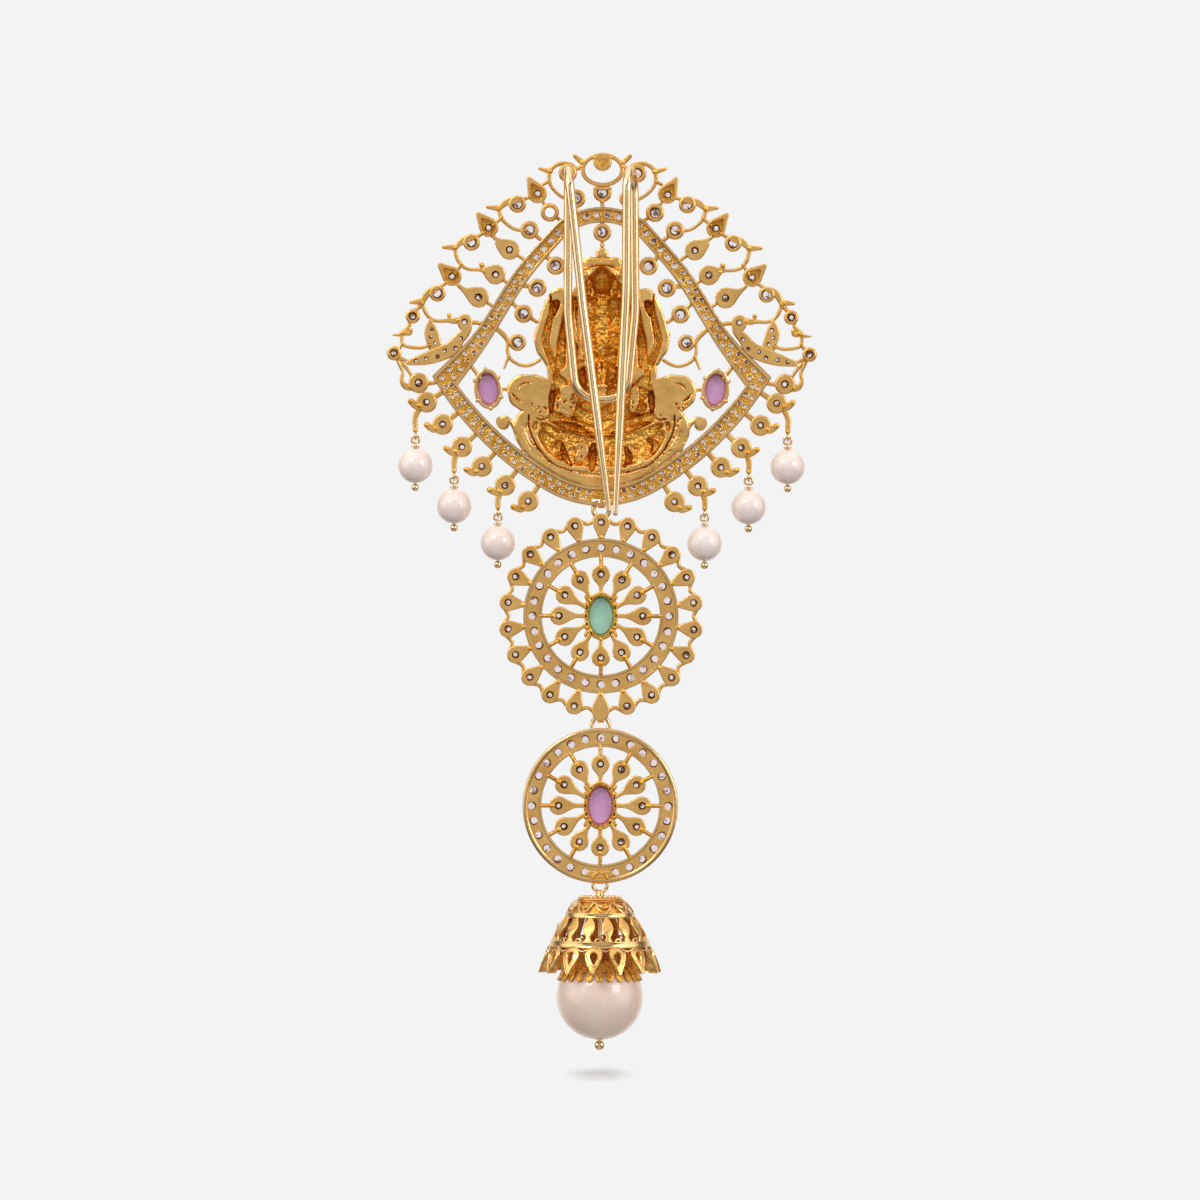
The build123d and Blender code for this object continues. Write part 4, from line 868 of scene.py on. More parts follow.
def bird_left(crest):
    """The bird: head with a stone, curved neck, boat-shaped body and a pointed wing."""
    wire = lattice_wire / 2
    neck = [beside(0.684, 0.15, 1.15), beside(0.715, 0.04, 0.72), beside(0.770, 0.04, 0.8),
            beside(0.834, 0.04, 1.05), beside(0.936, 0.23, 0.95), beside(1.020, 0.44, 0.4)]
    body = ribbon(neck, 6)
    along = [(0.76, 0.02), (0.815, -0.01), (0.86, 0.10), (0.905, 0.13), (0.950, 0.26), (0.990, 0.37)]
    seats = [(along_band(0.684, 0.15), small_stone_radius)]
    seats += [(along_band(a, o), bird_stone) for a, o in along]
    holes = [
        bore(p, stone * 0.76, stone + 0.04, plate_back, crest.front, crest.front - stone * 0.6, 0.05, 12)
        for p, stone in seats
    ]
    crest.metal.append(plate(body, plate_back, crest.front, holes, 0.16))
    wing = ribbon([beside(0.785, 0.61, 0.25), beside(0.832, 0.47, 0.98), beside(0.872, 0.28, 1.0)], 6)
    feathers = [(0.815, 0.50), (0.850, 0.43), (0.860, 0.31), (0.888, 0.36)]
    wing_holes = [
        bore(along_band(a, o), bird_stone * 0.7, bird_stone + 0.04, plate_back + 0.08, crest.front + 0.1,
             crest.front + 0.1 - bird_stone * 0.6, 0.05, 12)
        for a, o in feathers
    ]
    crest.metal.append(plate(wing, plate_back + 0.08, crest.front + 0.1, wing_holes, 0.14))
    for p, stone in seats:
        crest.seat(p, stone)
    for a, o in feathers:
        crest.seat(along_band(a, o), bird_stone, crest.front + 0.1)
    crest.wire(beside(0.707, 0.42, wire), beside(0.723, 0.34, 0.4), beside(0.700, 0.25, 0.5), deeper=0.1)
    crest.wire(beside(0.660, 0.04, wire), beside(0.640, -0.06, wire), deeper=0.35)


def corner_left(crest):
    """Small collets, hook and wires between the bird and the band's corner."""
    wire = lattice_wire / 2
    fine = fine_wire / 2
    crest.collet(along_band(0.827, 0.88), small_collet_radius, small_stone_radius)
    crest.wire(beside(0.750, 0.89, wire), beside(0.790, 0.90, wire))
    crest.wire(beside(0.858, 0.86, wire), beside(0.875, 0.83, wire), beside(0.918, 0.82, 0.42))
    crest.wire(beside(0.918, 0.82, 0.42), beside(0.905, 0.745, 0.36), beside(0.887, 0.76, 0.3), deeper=0.2,
               lower=0.12)
    crest.wire(beside(0.962, 0.93, 0.14), beside(0.935, 0.84, wire), beside(0.918, 0.82, 0.42), deeper=0.15,
               lower=0.18)
    crest.wire(beside(0.930, 0.84, wire), beside(0.966, 0.72, fine), beside(0.960, 0.61, fine),
               beside(0.924, 0.44, fine), beside(0.885, 0.36, fine))
    crest.collet(along_band(1.030, 0.73), small_collet_radius, small_stone_radius)
    crest.wire(beside(0.966, 0.72, fine), beside(1.000, 0.725, wire))
    crest.wire(beside(1.018, 0.45, fine), beside(1.030, 0.62, fine))
    crest.wire(beside(1.040, 0.66, fine), beside(1.060, 0.52, fine), beside(1.077, 0.42, fine),
               beside(1.111, 0.35, wire), beside(1.123, 0.24, 0.45), beside(1.110, 0.17, 0.6))
    crest.wire(beside(1.040, 0.60, fine), beside(1.047, 0.46, fine), beside(1.056, 0.33, fine),
               beside(1.066, 0.24, fine), deeper=0.35)
    crest.collet(along_band(1.068, 0.10), collet_radius * 1.1, small_stone_radius)
    crest.wire(beside(1.04, -0.03, wire), beside(1.01, -0.12, wire), deeper=0.35)


def rounded_mouth(outline, round_off, front):
    """A hole through a flat ring, widened at both ends."""
    return [(outline(round_off), plate_back), (outline(0), plate_back + round_off),
            (outline(0), front - round_off), (outline(round_off), front)]


def crown(crest):
    """The ring, collets, scrolls and thorns above the band's top."""
    wire = lattice_wire / 2
    fine = fine_wire / 2
    half = (0.403 * crown_reach, 0.315 * crown_reach)
    middle = above(0, 0.68, 0)[:2]
    inner = (half[0] - lattice_wire, half[1] - lattice_wire)
    mouth = rounded_mouth(lambda grow: oval(middle, inner[0] + grow, inner[1] + grow), 0.14, crest.front)
    crest.metal.append(plate(lambda inset: oval(middle, half[0] - inset, half[1] - inset),
                             plate_back, crest.front, [mouth], 0.14))
    top, low = above(0, 0.83, 0)[:2], above(0, 0.26, 0)[:2]
    crest.collet(top, collet_radius, stone_radius, deeper=0.08)
    crest.hollow.append(plate(round_outline(top, collet_radius - 0.3), plate_back + 0.13, plate_back + 0.23,
                              bevel=0.02))
    crest.collet(low, collet_radius, stone_radius, deeper=0.3)
    crest.wire(above(-0.145, 0.905, 0.24), above(0.145, 0.905, 0.24), deeper=0.0)
    crest.wire(above(-0.15, 0.335, 0.2), above(0.15, 0.335, 0.2), deeper=0.0)
    crest.wire(above(0, 0.10, wire), above(0, -0.05, wire), deeper=0.35)
    side = Casting(lattice_front)
    side.wire(above(-0.51, 0.935, 0.26), above(-0.46, 0.89, 0.34), above(-0.37, 0.82, 0.42), deeper=0.12)
    side.wire(above(-0.38, 0.74, wire), above(-0.48, 0.70, wire), above(-0.60, 0.76, 0.45),
              above(-0.73, 0.80, wire), above(-0.86, 0.76, wire), above(-0.98, 0.66, wire), deeper=0.12)
    side.collet(above(-0.64, 0.62, 0)[:2], collet_radius, stone_radius)
    side.wire(above(-1.15, 0.70, 0.24), above(-1.05, 0.67, 0.32), above(-0.96, 0.65, 0.42), deeper=0.15)
    side.wire(above(-0.97, 0.68, wire), above(-0.985, 0.50, wire), above(-0.93, 0.36, fine),
              above(-0.80, 0.22, fine), above(-0.64, 0.13, fine))
    side.wire(above(-0.985, 0.47, fine), above(-1.08, 0.42, fine))
    side.collet(above(-0.48, 0.15, 0)[:2], collet_radius, stone_radius)
    side.wire(above(-0.48, 0.02, wire), above(-0.47, -0.12, wire), deeper=0.35)
    side.wire(above(-1.12, 0.13, fine), above(-1.04, 0.02, fine))
    crest.both_sides(side)
    eyelet = above(-0.967, -0.105, 0)[:2]
    mouth = rounded_mouth(lambda grow: circle(eyelet, eyelet_bore + grow, 28), 0.18, crest.front)
    crest.metal.append(plate(round_outline(eyelet, collet_radius), plate_back, crest.front, [mouth], 0.22))
    crest.collet((-eyelet[0], eyelet[1]), collet_radius, stone_radius)
    for p in (eyelet, (-eyelet[0], eyelet[1])):
        foot = (p[0] * 0.80, p[1] - 1.1)
        crest.wire((*between(p, foot, 0.75), fine), (*foot, fine), deeper=0.3)


def inside_left(crest):
    """Collets and scrolls inside the band's left side."""
    wire = lattice_wire / 2
    fine = fine_wire / 2
    # Each collet, and the start and end of the wire that joins it to the band
    joined_to_band = [
        ((-0.273, 0.197), (-0.305, 0.180, wire), (-0.335, 0.160, 0.4)),
        ((-0.381, 0.271), (-0.430, 0.266, wire), (-0.478, 0.262, 0.45)),
        ((-0.462, 0.358), (-0.495, 0.340, wire), (-0.530, 0.320, wire)),
    ]
    for middle, start, end in joined_to_band:
        crest.collet(inside(*middle, 0)[:2], collet_radius, stone_radius)
        crest.wire(inside(*start), inside(*end), deeper=0.3)
    crest.wire(inside(-0.415, 0.373, wire), inside(-0.385, 0.385, fine), deeper=0.3)
    crest.collet(inside(-0.497, 0.454, 0)[:2], collet_radius * 0.92, stone_radius)
    crest.wire(
        inside(-0.640, 0.400, wire), inside(-0.585, 0.425, 0.38), inside(-0.555, 0.450, wire),
        inside(-0.556, 0.480, fine), inside(-0.540, 0.507, fine), inside(-0.502, 0.524, fine),
        inside(-0.455, 0.532, fine), inside(-0.410, 0.527, fine), inside(-0.365, 0.512, fine),
    )
    crest.wire(inside(-0.548, 0.500, fine), inside(-0.576, 0.540, 0.16), deeper=0.2)


# Drops under the band


def drop_frame(share):
    """A point on the band's lower edge and its outward angle, at a share from the bottom."""
    keel_centre = (0, band_bottom_z + keel_radius)
    keel_end = step(keel_centre, 270 - keel_turn, keel_radius)
    arc = np.array(tangent_arc(keel_end, 180 - keel_turn, band_corner, 400))
    lengths = np.concatenate([[0], np.cumsum(np.linalg.norm(np.diff(arc, axis=0), axis=1))])
    keel_length = math.radians(keel_turn) * keel_radius
    reach = share * (keel_length + lengths[-1]) - keel_length
    if reach < 0:
        turn = keel_turn * (1 + reach / keel_length)
        return step(keel_centre, 270 - turn, keel_radius), 270 - turn
    place = min(int(np.searchsorted(lengths, reach)), 399)
    run = arc[place + 1] - arc[place]
    p = (np.interp(reach, lengths, arc[:, 0]), np.interp(reach, lengths, arc[:, 1]))
    return p, math.degrees(math.atan2(run[1], run[0])) + 90


drop_shares = [0.305, 0.425, 0.552, 0.672, 0.798, 0.915]
PearlDrop = namedtuple("PearlDrop", "across_lean drop")
pearl_stems = {
    1: PearlDrop(-1.0, 3.95),
    3: PearlDrop(-1.1, 4.20),
    5: PearlDrop(-1.6, 4.80),
}


def drop_centre(share):
    edge, angle = drop_frame(share)
    return step(edge, angle, drop_out), angle


def pearl_eye(index):
    centre, _ = drop_centre(drop_shares[index])
    stem = pearl_stems[index]
    return (centre[0] + stem.across_lean, centre[1] - stem.drop)


# The drop's comma: turn from the outward angle, distance from its stone, and radius
drop_tail = [(-10, 1.15, 0.64), (-15, 1.50, 0.60), (-27, 1.90, 0.50), (-37, 2.30, drop_tail_radius)]


def drops_left(crest):
    for share in drop_shares:
        centre, angle = drop_centre(share)
        edge, _ = drop_frame(share)
        crest.collet(centre, drop_radius, small_stone_radius, 0.82)
        crest.wire(*[(*step(centre, angle + turn, away), radius) for turn, away, radius in drop_tail],
                   deeper=0.03, lower=0.03)
        peg = [(*step(centre, angle, -0.9), peg_wire / 2), (*step(edge, angle, -0.3), peg_wire / 2)]
        crest.wire(*peg, deeper=0.3)
    for index in pearl_stems:
        centre, angle = drop_centre(drop_shares[index])
        eye = pearl_eye(index)
        start = step(centre, angle, drop_radius * 0.7)
        knee = (eye[0], between(start, eye, 0.35)[1])
        crest.wire((*start, stem_wire / 2), (*knee, stem_wire / 2), (eye[0], eye[1] + 0.75, stem_wire * 0.4),
                   deeper=0.2)


# Oval settings, pin eyes and the crest's pieces


claw_count = 6


def setting(centre, half, tilt):
    """An oval tube with a scalloped inner wall behind its stone, and claws bent over the front."""
    outer = (half[0] + setting_wall, half[1] + setting_wall)
    top = lattice_front + setting_rise
    steps = 72

    def wall(grow, y, ripple=0.0, inner=False):
        base = half if inner else outer
        loop = np.array(oval(centre, base[0] + grow, base[1] + grow, tilt, steps))
        if ripple:
            away = loop - np.array(centre)
            wave = 1 + ripple * np.abs(np.sin(np.arange(steps) * np.pi * 9 / steps))[:, None]
            loop = np.array(centre) + away * wave
        return at_depth(loop, y)

    profile = [
        wall(-0.14, plate_back), wall(-0.02, plate_back + 0.06), wall(0, plate_back + 0.2),
        wall(0, top - 0.12), wall(-0.12, top), wall(0.06, top, inner=True),
        wall(0.04, top - 0.8, inner=True),
        wall(-0.15, top - 1.1, inner=True), wall(-0.17, plate_back + 0.8, inner=True),
        wall(-0.06, plate_back + 0.4, 0.03, True), wall(0.10, plate_back, 0.04, True),
    ]
    forms = [loft(profile, along=True)]
    lean = Matrix.Rotation(math.radians(-tilt), 3, "Y")
    for n in range(claw_count):
        turn = 2 * math.pi * (n + 0.5) / claw_count
        out = Vector((math.cos(turn), 0, math.sin(turn)))
        edge = Vector((outer[0] * out.x, 0, outer[1] * out.z))
        path = [(edge * 0.96, plate_back + 0.12), (edge, plate_back + 0.7), (edge * 0.99, lattice_front),
                (edge * 0.96, top), (edge * 0.86, top + 0.28), (edge * 0.74, top + 0.30)]
        points = []
        for p, y in path:
            q = lean @ p
            points.append((centre[0] + q.x, y, centre[1] + q.z))
        forms.append(tube(smooth(points, 3), [0.3] * 10 + [0.29, 0.28, 0.26, 0.25, 0.24, 0.22], 8))
    return forms


def oval_gem(name, centre, half, tilt, material, body, node):
    form = cut_gem(half[0], half[1], 16, half[0] * 0.38, 0.85, 0.62, 0.90)
    place = Matrix.Translation((centre[0], lattice_front + setting_rise - 0.45, centre[1]))
    form = placed(form, place @ Matrix.Rotation(math.radians(-tilt), 4, "Y"))
    return build(name, [form], material, body, [node], faceted=True)


def link_sag(link):
    return link.radius - (link.radius ** 2 - 0.25) ** 0.5


def knuckle(pivot_z, link):
    """The short tube that the next piece's ring hangs from, open along X."""
    radius = link.wire + 0.12 + link_sag(link) / 2
    outer = radius + 0.34
    centre = (0, hang_y, pivot_z - link_sag(link) / 2)
    turns = np.linspace(0, 2 * np.pi, 25)[:-1]
    rings = []
    for size, x in ((radius, 0.5), (radius, -0.5), (outer - 0.06, -0.5), (outer, -0.42), (outer, 0.42),
                    (outer - 0.06, 0.5)):
        y, z = centre[1] + size * np.cos(turns), centre[2] + size * np.sin(turns)
        rings.append(np.stack([np.full(24, x), y, z], 1))
    return loft(rings, along=True)


def make_crest():
    left = Casting(lattice_front)
    lattice_left(left)
    inside_left(left)
    drops_left(left)
    crest = Casting(lattice_front)
    crest.both_sides(left)
    crown(crest)
    crest.collet(inside(0, 0.086, 0)[:2], collet_radius * 0.98, stone_radius)
    crest.wire(inside(0, 0.045, 0.3), inside(0, 0.060, 0.3), deeper=0.3)
    crest.wire(inside(0, 0.112, 0.3), inside(0, 0.130, 0.3), deeper=0.3)
    place = inside(-0.669, 0.610, 0)[:2]
    peg_up = inside(-0.785, 0.52, 0.3)
    claws = []
    for side in (1, -1):
        middle = (place[0] * side, place[1])
        claws += setting(middle, crest_oval_half, crest_oval_tilt * side)
        start = between(middle, (peg_up[0] * side, peg_up[1]), 0.42)
        crest.wire((*start, 0.3), (peg_up[0] * side, peg_up[1], 0.3), deeper=0.3)
        crest.wire((middle[0] + 1.9 * side, middle[1], 0.25), (middle[0] + 2.75 * side, middle[1], 0.25),
                   deeper=0.3)
    eyes = []
    for index in pearl_stems:
        x, z = pearl_eye(index)
        for side in (1, -1):
            eyes.append(wire_ring((x * side, hang_y, z), pearl_loop_radius, pearl_pin_wire / 2, "X"))
    rails, floor, cells, gems, beads = make_band()
    # Leaf hollows, solder and the band's sunken floor take the darker gold, which paints their shade.
    gold_pieces = [
        ("crest_lattice", crest.metal, cast_gold),
        ("crest_leaf_hollows", crest.hollow, painted_shade_gold),
        ("crest_solder", crest.solder, painted_shade_gold),
        ("crest_beads", crest.beads() + beads, rail_gold),
        ("crest_settings", claws, rail_gold),
        ("crest_band_rails", rails, rail_gold),
        ("crest_band_floor", [floor], painted_shade_gold),
        ("crest_band_cells", cells, rail_gold),
        ("crest_pearl_eyes", eyes + [knuckle(band_bottom_z + link_1.hide, link_1)], polished_gold),
    ]
    for name, forms, material in gold_pieces:
        build(name, forms, material, "crest", ["crest_plaque"])
    build("crest_gems", crest.gems(), clear_gem, "crest", ["crest_stones"], faceted=True)
    build("crest_band_gems", gems, clear_gem, "crest", faceted=True)
    for name, side in (("left", 1), ("right", -1)):
        oval_gem(f"crest_gem_{name}", (place[0] * side, place[1]), crest_oval_half, crest_oval_tilt * side,
                 lilac_gem, "crest", f"crest_oval_{name}")


# Medallions


def medallion_rim_forms(centre, skipped, outer_rail):
    """The thick rim: a satin floor with its openings between two narrow rails."""
    inner = medallion_inner
    back, front = plate_back + 0.16, plate_front - 0.25
    seats = []
    for n in range(rim_stone_count):
        if n not in skipped:
            p = step(centre, 90 + 360 * n / rim_stone_count, (medallion_radius + inner) / 2)
            seats.append((p, rim_stone_radius, front))
    holes = [[(circle(centre, inner + 0.2, 120), back), (circle(centre, inner + 0.2, 120), front)]]
    for p, stone, _ in seats:
        holes.append(bore(p, stone * 0.84, stone + 0.04, back, front, front - stone * 0.55, 0.08))
    edge = circle(centre, medallion_radius - 0.2, 120)
    floor = plate(lambda inset: edge, back, front, holes, 0.0)
    rails = []
    for radius, width in ((medallion_radius - outer_rail, outer_rail), (inner + 0.22, 0.22)):
        profile = [(radius - width, plate_back + 0.22), (radius - width * 0.7, plate_back + 0.05),
                   (radius, plate_back), (radius + width * 0.7, plate_back + 0.05),
                   (radius + width, plate_back + 0.22), (radius + width, plate_front - 0.2),
                   (radius + width * 0.6, plate_front), (radius - width * 0.6, plate_front),
                   (radius - width, plate_front - 0.2)]
        rails.append(lathe(profile, (centre[0], 0, centre[1]), "Y", 144, closed=True))
    return floor, rails, seats


def add_flower(medallion, centre):
    """The petals and spokes between the oval setting and the rim."""
    wall_x, wall_z = medallion_oval_half[0] + setting_wall, medallion_oval_half[1] + setting_wall
    for n in range(inner_petal_count):
        angle = 90 + 360 * n / inner_petal_count
        turn = math.radians(angle)
        wall = 1 / ((math.cos(turn) / wall_x) ** 2 + (math.sin(turn) / wall_z) ** 2) ** 0.5
        head = step(centre, angle, inner_petal_at)
        root = step(centre, angle, wall - 0.2)
        neck = between(root, head, 0.42)
        edge = step(centre, angle, medallion_inner + 0.25)
        medallion.petal(head, small_stone_radius, (*root, 0.34), (*neck, 0.40), (*head, inner_petal_radius))
        medallion.wire((*step(centre, angle, inner_petal_at + 1.1), 0.3), (*edge, 0.3), deeper=0.3)
        start = step(centre, angle, inner_petal_at + 0.82)
        spoke = [(start[0], plate_back + 0.10, start[1]), (edge[0], plate_back + 0.16, edge[1])]
        medallion.hollow.append(tube(spoke, [0.34, 0.2], 8))
        medallion.hollow.append(ball((start[0], plate_back + 0.08, start[1]), 0.42, 8))


def make_medallion(name, body, centre, skipped, outer, links, pivots):
    """A medallion on its body, with the links and pivots of its top and its foot."""
    medallion = Casting(lattice_front)
    add_flower(medallion, centre)
    if outer:
        outer_petals(medallion, centre)
    floor, rails, seats = medallion_rim_forms(centre, skipped, 0.24 if outer else 0.36)
    rim = Casting(plate_front)
    rim.seats = seats
    if skipped:
        floor_eye(medallion, centre)
    node, stones = f"medallion_{name}", f"medallion_{name}_stones"
    ring = wire_ring((0, hang_y, pivots[0] - links[0].radius), links[0].radius, links[0].wire, "Y")
    feet = []
    for side in (-1, 1):
        for end in (-1, 1):
            path = [(centre[0] + side * 1.6, plate_back + 0.40, centre[1] + end * 2.15),
                    (centre[0] + side * 2.1, plate_back + 0.36, centre[1] + end * 2.75)]
            feet.append(tube(path, [0.48, 0.32], 10))
    # Spokes and the oval setting take the darker gold, which paints their shade.
    gold_pieces = [
        ("petals", medallion.metal, cast_gold),
        ("spokes", medallion.hollow, painted_shade_gold),
        ("rim", [floor], cast_gold),
        ("rails", rails, rail_gold),
        ("setting", setting(centre, medallion_oval_half, 0.0) + feet, painted_shade_gold),
        ("beads", medallion.beads() + rim.beads(), rail_gold),
        ("links", [ring, knuckle(pivots[1], links[1])], polished_gold),
    ]
    for piece, forms, material in gold_pieces:
        build(f"{node}_{piece}", forms, material, body, [node])
    build(f"{node}_gems", medallion.gems(), clear_gem, body, [stones], faceted=True)
    build(f"{node}_rim_gems", rim.gems(), rim_gem, body, [stones], faceted=True)


def floor_eye(medallion, centre):
    """The plate and half ring soldered to the back of the rim where the lower link hangs."""
    z = centre[1] - medallion_radius + 1.2
    patch = ribbon([(centre[0] + x, z + rise, radius) for x, rise, radius in (
        (-1.5, 0.18, 0.50), (0, 0, 0.62), (1.5, 0.18, 0.50))])
    medallion.metal.append(plate(patch, plate_back, plate_back + 0.5, (), 0.12))
    turns = np.linspace(math.radians(10), math.radians(170), 16)
    arch = [(centre[0] + math.cos(t), plate_back + 0.02, z - 0.62 + math.sin(t)) for t in turns]
    medallion.hollow.append(tube(arch, 0.2, 8))


def outer_petals(medallion, centre):
    fine = fine_wire / 2
    pitch = 360 / outer_petal_count
    for n in range(outer_petal_count):
        angle = 90 + pitch * n
        head = step(centre, angle, outer_ring)
        root = step(centre, angle, medallion_radius - 0.1)
        if n == outer_petal_count // 2:
            foot = (centre[0], medallion_1_bottom + 0.95)
            medallion.metal.append(plate(ribbon([(*root, 0.3), (*head, outer_petal_radius), (*foot, 0.95)]),
                                         plate_back, lattice_front, (), 0.14))
        else:
            medallion.petal(head, small_stone_radius, (*root, 0.3), (*head, outer_petal_radius))
        start = step(centre, angle + pitch * 0.24, outer_ring + 0.42)
        middle = step(centre, angle + pitch * 0.5, outer_ring - 0.15)
        end = step(centre, angle + pitch * 0.76, outer_ring + 0.42)
        medallion.wire((*start, fine), (*middle, fine * 1.15), (*end, fine), deeper=0.3)
        root = step(centre, angle, medallion_radius + 0.15)
        medallion.hollow.append(ball((root[0], plate_back + 0.16, root[1]), 0.34, 8))


# Pearls and their pins


def pearl(name, middle, radius, wire, material, body, node):
    """A drilled pearl, its bore a little wider than its wire."""
    hole = wire / 2 + bead_gap
    first = math.asin(hole / radius)
    turns = np.linspace(first, np.pi - first, 48)
    profile = [(radius * math.sin(t), radius * math.cos(t)) for t in turns]
    profile = [(hole, profile[0][1] - radius * 0.4)] + profile + [(hole, profile[-1][1] + radius * 0.4)]
    return build(name, [lathe(profile, middle, "Z", 72)], material, body, [node])


def small_pearl(name, eye):
    x, y, z = eye
    loop_z = z - pearl_loop_radius
    collar_top = loop_z - pearl_loop_radius - pearl_pin_wire / 2 - pearl_neck
    collar_bottom = collar_top - pearl_collar_height
    middle_z = collar_bottom - bead_gap - pearl_radius
    ball_z = middle_z - pearl_radius - pearl_ball_radius - bead_gap
    wire = pearl_pin_wire / 2
    pearl(f"small_pearl_{name}", (x, y, middle_z), pearl_radius, pearl_pin_wire, pearl_white, "crest",
          f"pearl_{name}")
    turns = np.linspace(0, 2 * np.pi, 25)[:-1]
    loop = [(x + pearl_loop_radius * math.sin(t), y, loop_z - pearl_loop_radius * math.cos(t)) for t in turns]
    collar = [
        (wire, collar_top), (pearl_collar_radius * 0.7, collar_top), (pearl_collar_radius, collar_top - 0.1),
        (pearl_collar_radius, collar_bottom + 0.08), (pearl_collar_radius * 0.8, collar_bottom),
        (wire, collar_bottom),
    ]
    forms = [
        tube(loop, wire, 10, closed=True),
        tube([(x, y, loop_z - pearl_loop_radius), (x, y, middle_z), (x, y, ball_z)], wire, 10),
        lathe(collar, (x, y, 0), "Z", 28, closed=True),
        ball((x, y, ball_z), pearl_ball_radius, 20),
    ]
    build(f"small_pin_{name}", forms, polished_gold, "crest", [f"pearl_pin_{name}"])


def small_pearls():
    for side_name, side in (("left", 1), ("right", -1)):
        for n, index in enumerate(sorted(pearl_stems, reverse=True)):
            x, z = pearl_eye(index)
            small_pearl(f"{side_name}_{n + 1}", (x * side, hang_y, z))


# Bell, drawn flat and wrapped round its axis. Turn 0 faces the hair.

bell_gap = 1.8
bell_top_z = medallion_2_bottom - bell_gap
bell_top_radius = 2.7
bell_rail_1_drop = 2.7
bell_rail_1_radius = 5.05
bell_rail_2_drop = 6.8
bell_rail_2_radius = 7.2
bell_skirt_drop = 11.0
bell_skirt_radius = 8.7
bell_wall = 0.7
bell_rail = 0.6
bell_leaf_count = 14
bell_skirt_count = 14
bell_peak_count = 9
bell_bead_count = 26
bell_stone = 0.6
bell_eye_radius = 0.8
bell_eye_wire = 0.25


def about_axis(radius, angle, z):
    """A point at a distance from the pendant's axis. Angle 0, in radians, faces the hair."""
    return (radius * math.sin(angle), hang_y - radius * math.cos(angle), z)


def bell_radius(drop):
    """The bell's outer radius at a drop below its top, gently domed between its rails."""
    levels = [0, bell_rail_1_drop, bell_rail_2_drop, bell_skirt_drop]
    radii = [bell_top_radius, bell_rail_1_radius - 0.15, bell_rail_2_radius - 0.2, bell_skirt_radius]
    for n, dome in zip(range(3), (0.30, 0.32, 0.12)):
        if drop <= levels[n + 1]:
            share = (drop - levels[n]) / (levels[n + 1] - levels[n])
            return radii[n] + share * (radii[n + 1] - radii[n]) + dome * math.sin(math.pi * share)
    return radii[-1]


def on_bell(form, turn):
    """Wraps a form drawn as (arc length, depth outwards, -drop) round the bell, square to its wall."""
    points = []
    for x, y, z in form.points:
        radius = bell_radius(-z)
        lean = math.atan(bell_radius(0.2 - z) - bell_radius(-z)) if z < -bell_rail_2_drop else 0
        away = radius + y * math.cos(lean)
        points.append(about_axis(away, math.radians(turn) + x / radius, bell_top_z + z + y * math.sin(lean)))
    return Form(np.array(points), form.faces)


def bell_band(drop, radius, height, thick):
    """A rounded rail round the bell."""
    low, high = bell_top_z - drop - height / 2, bell_top_z - drop + height / 2
    profile = [
        (radius - thick, low + 0.05), (radius - 0.10, low), (radius, low + 0.06),
        (radius + 0.03, low + 0.14), (radius - 0.03, low + 0.22), (radius - 0.09, high - 0.22),
        (radius - 0.07, high - 0.14), (radius - 0.10, high - 0.06), (radius - 0.20, high),
        (radius - thick, high - 0.05),
    ]
    return lathe(profile, (0, hang_y, 0), "Z", 120, closed=True)


def facing_front(turn):
    """True for places on the display side, where the stones are."""
    return abs((turn % 360) - 180) < 88


def bell_gem(turn, drop, out):
    """A stone in the bell's wall, with its table outwards."""
    place = Matrix.Translation(about_axis(bell_radius(drop) + out, math.radians(turn), bell_top_z - drop))
    outwards = Matrix.Rotation(math.radians(turn + 180), 4, "Z")
    return placed(round_gem(bell_stone, bell_stone * 1.2), place @ outwards)


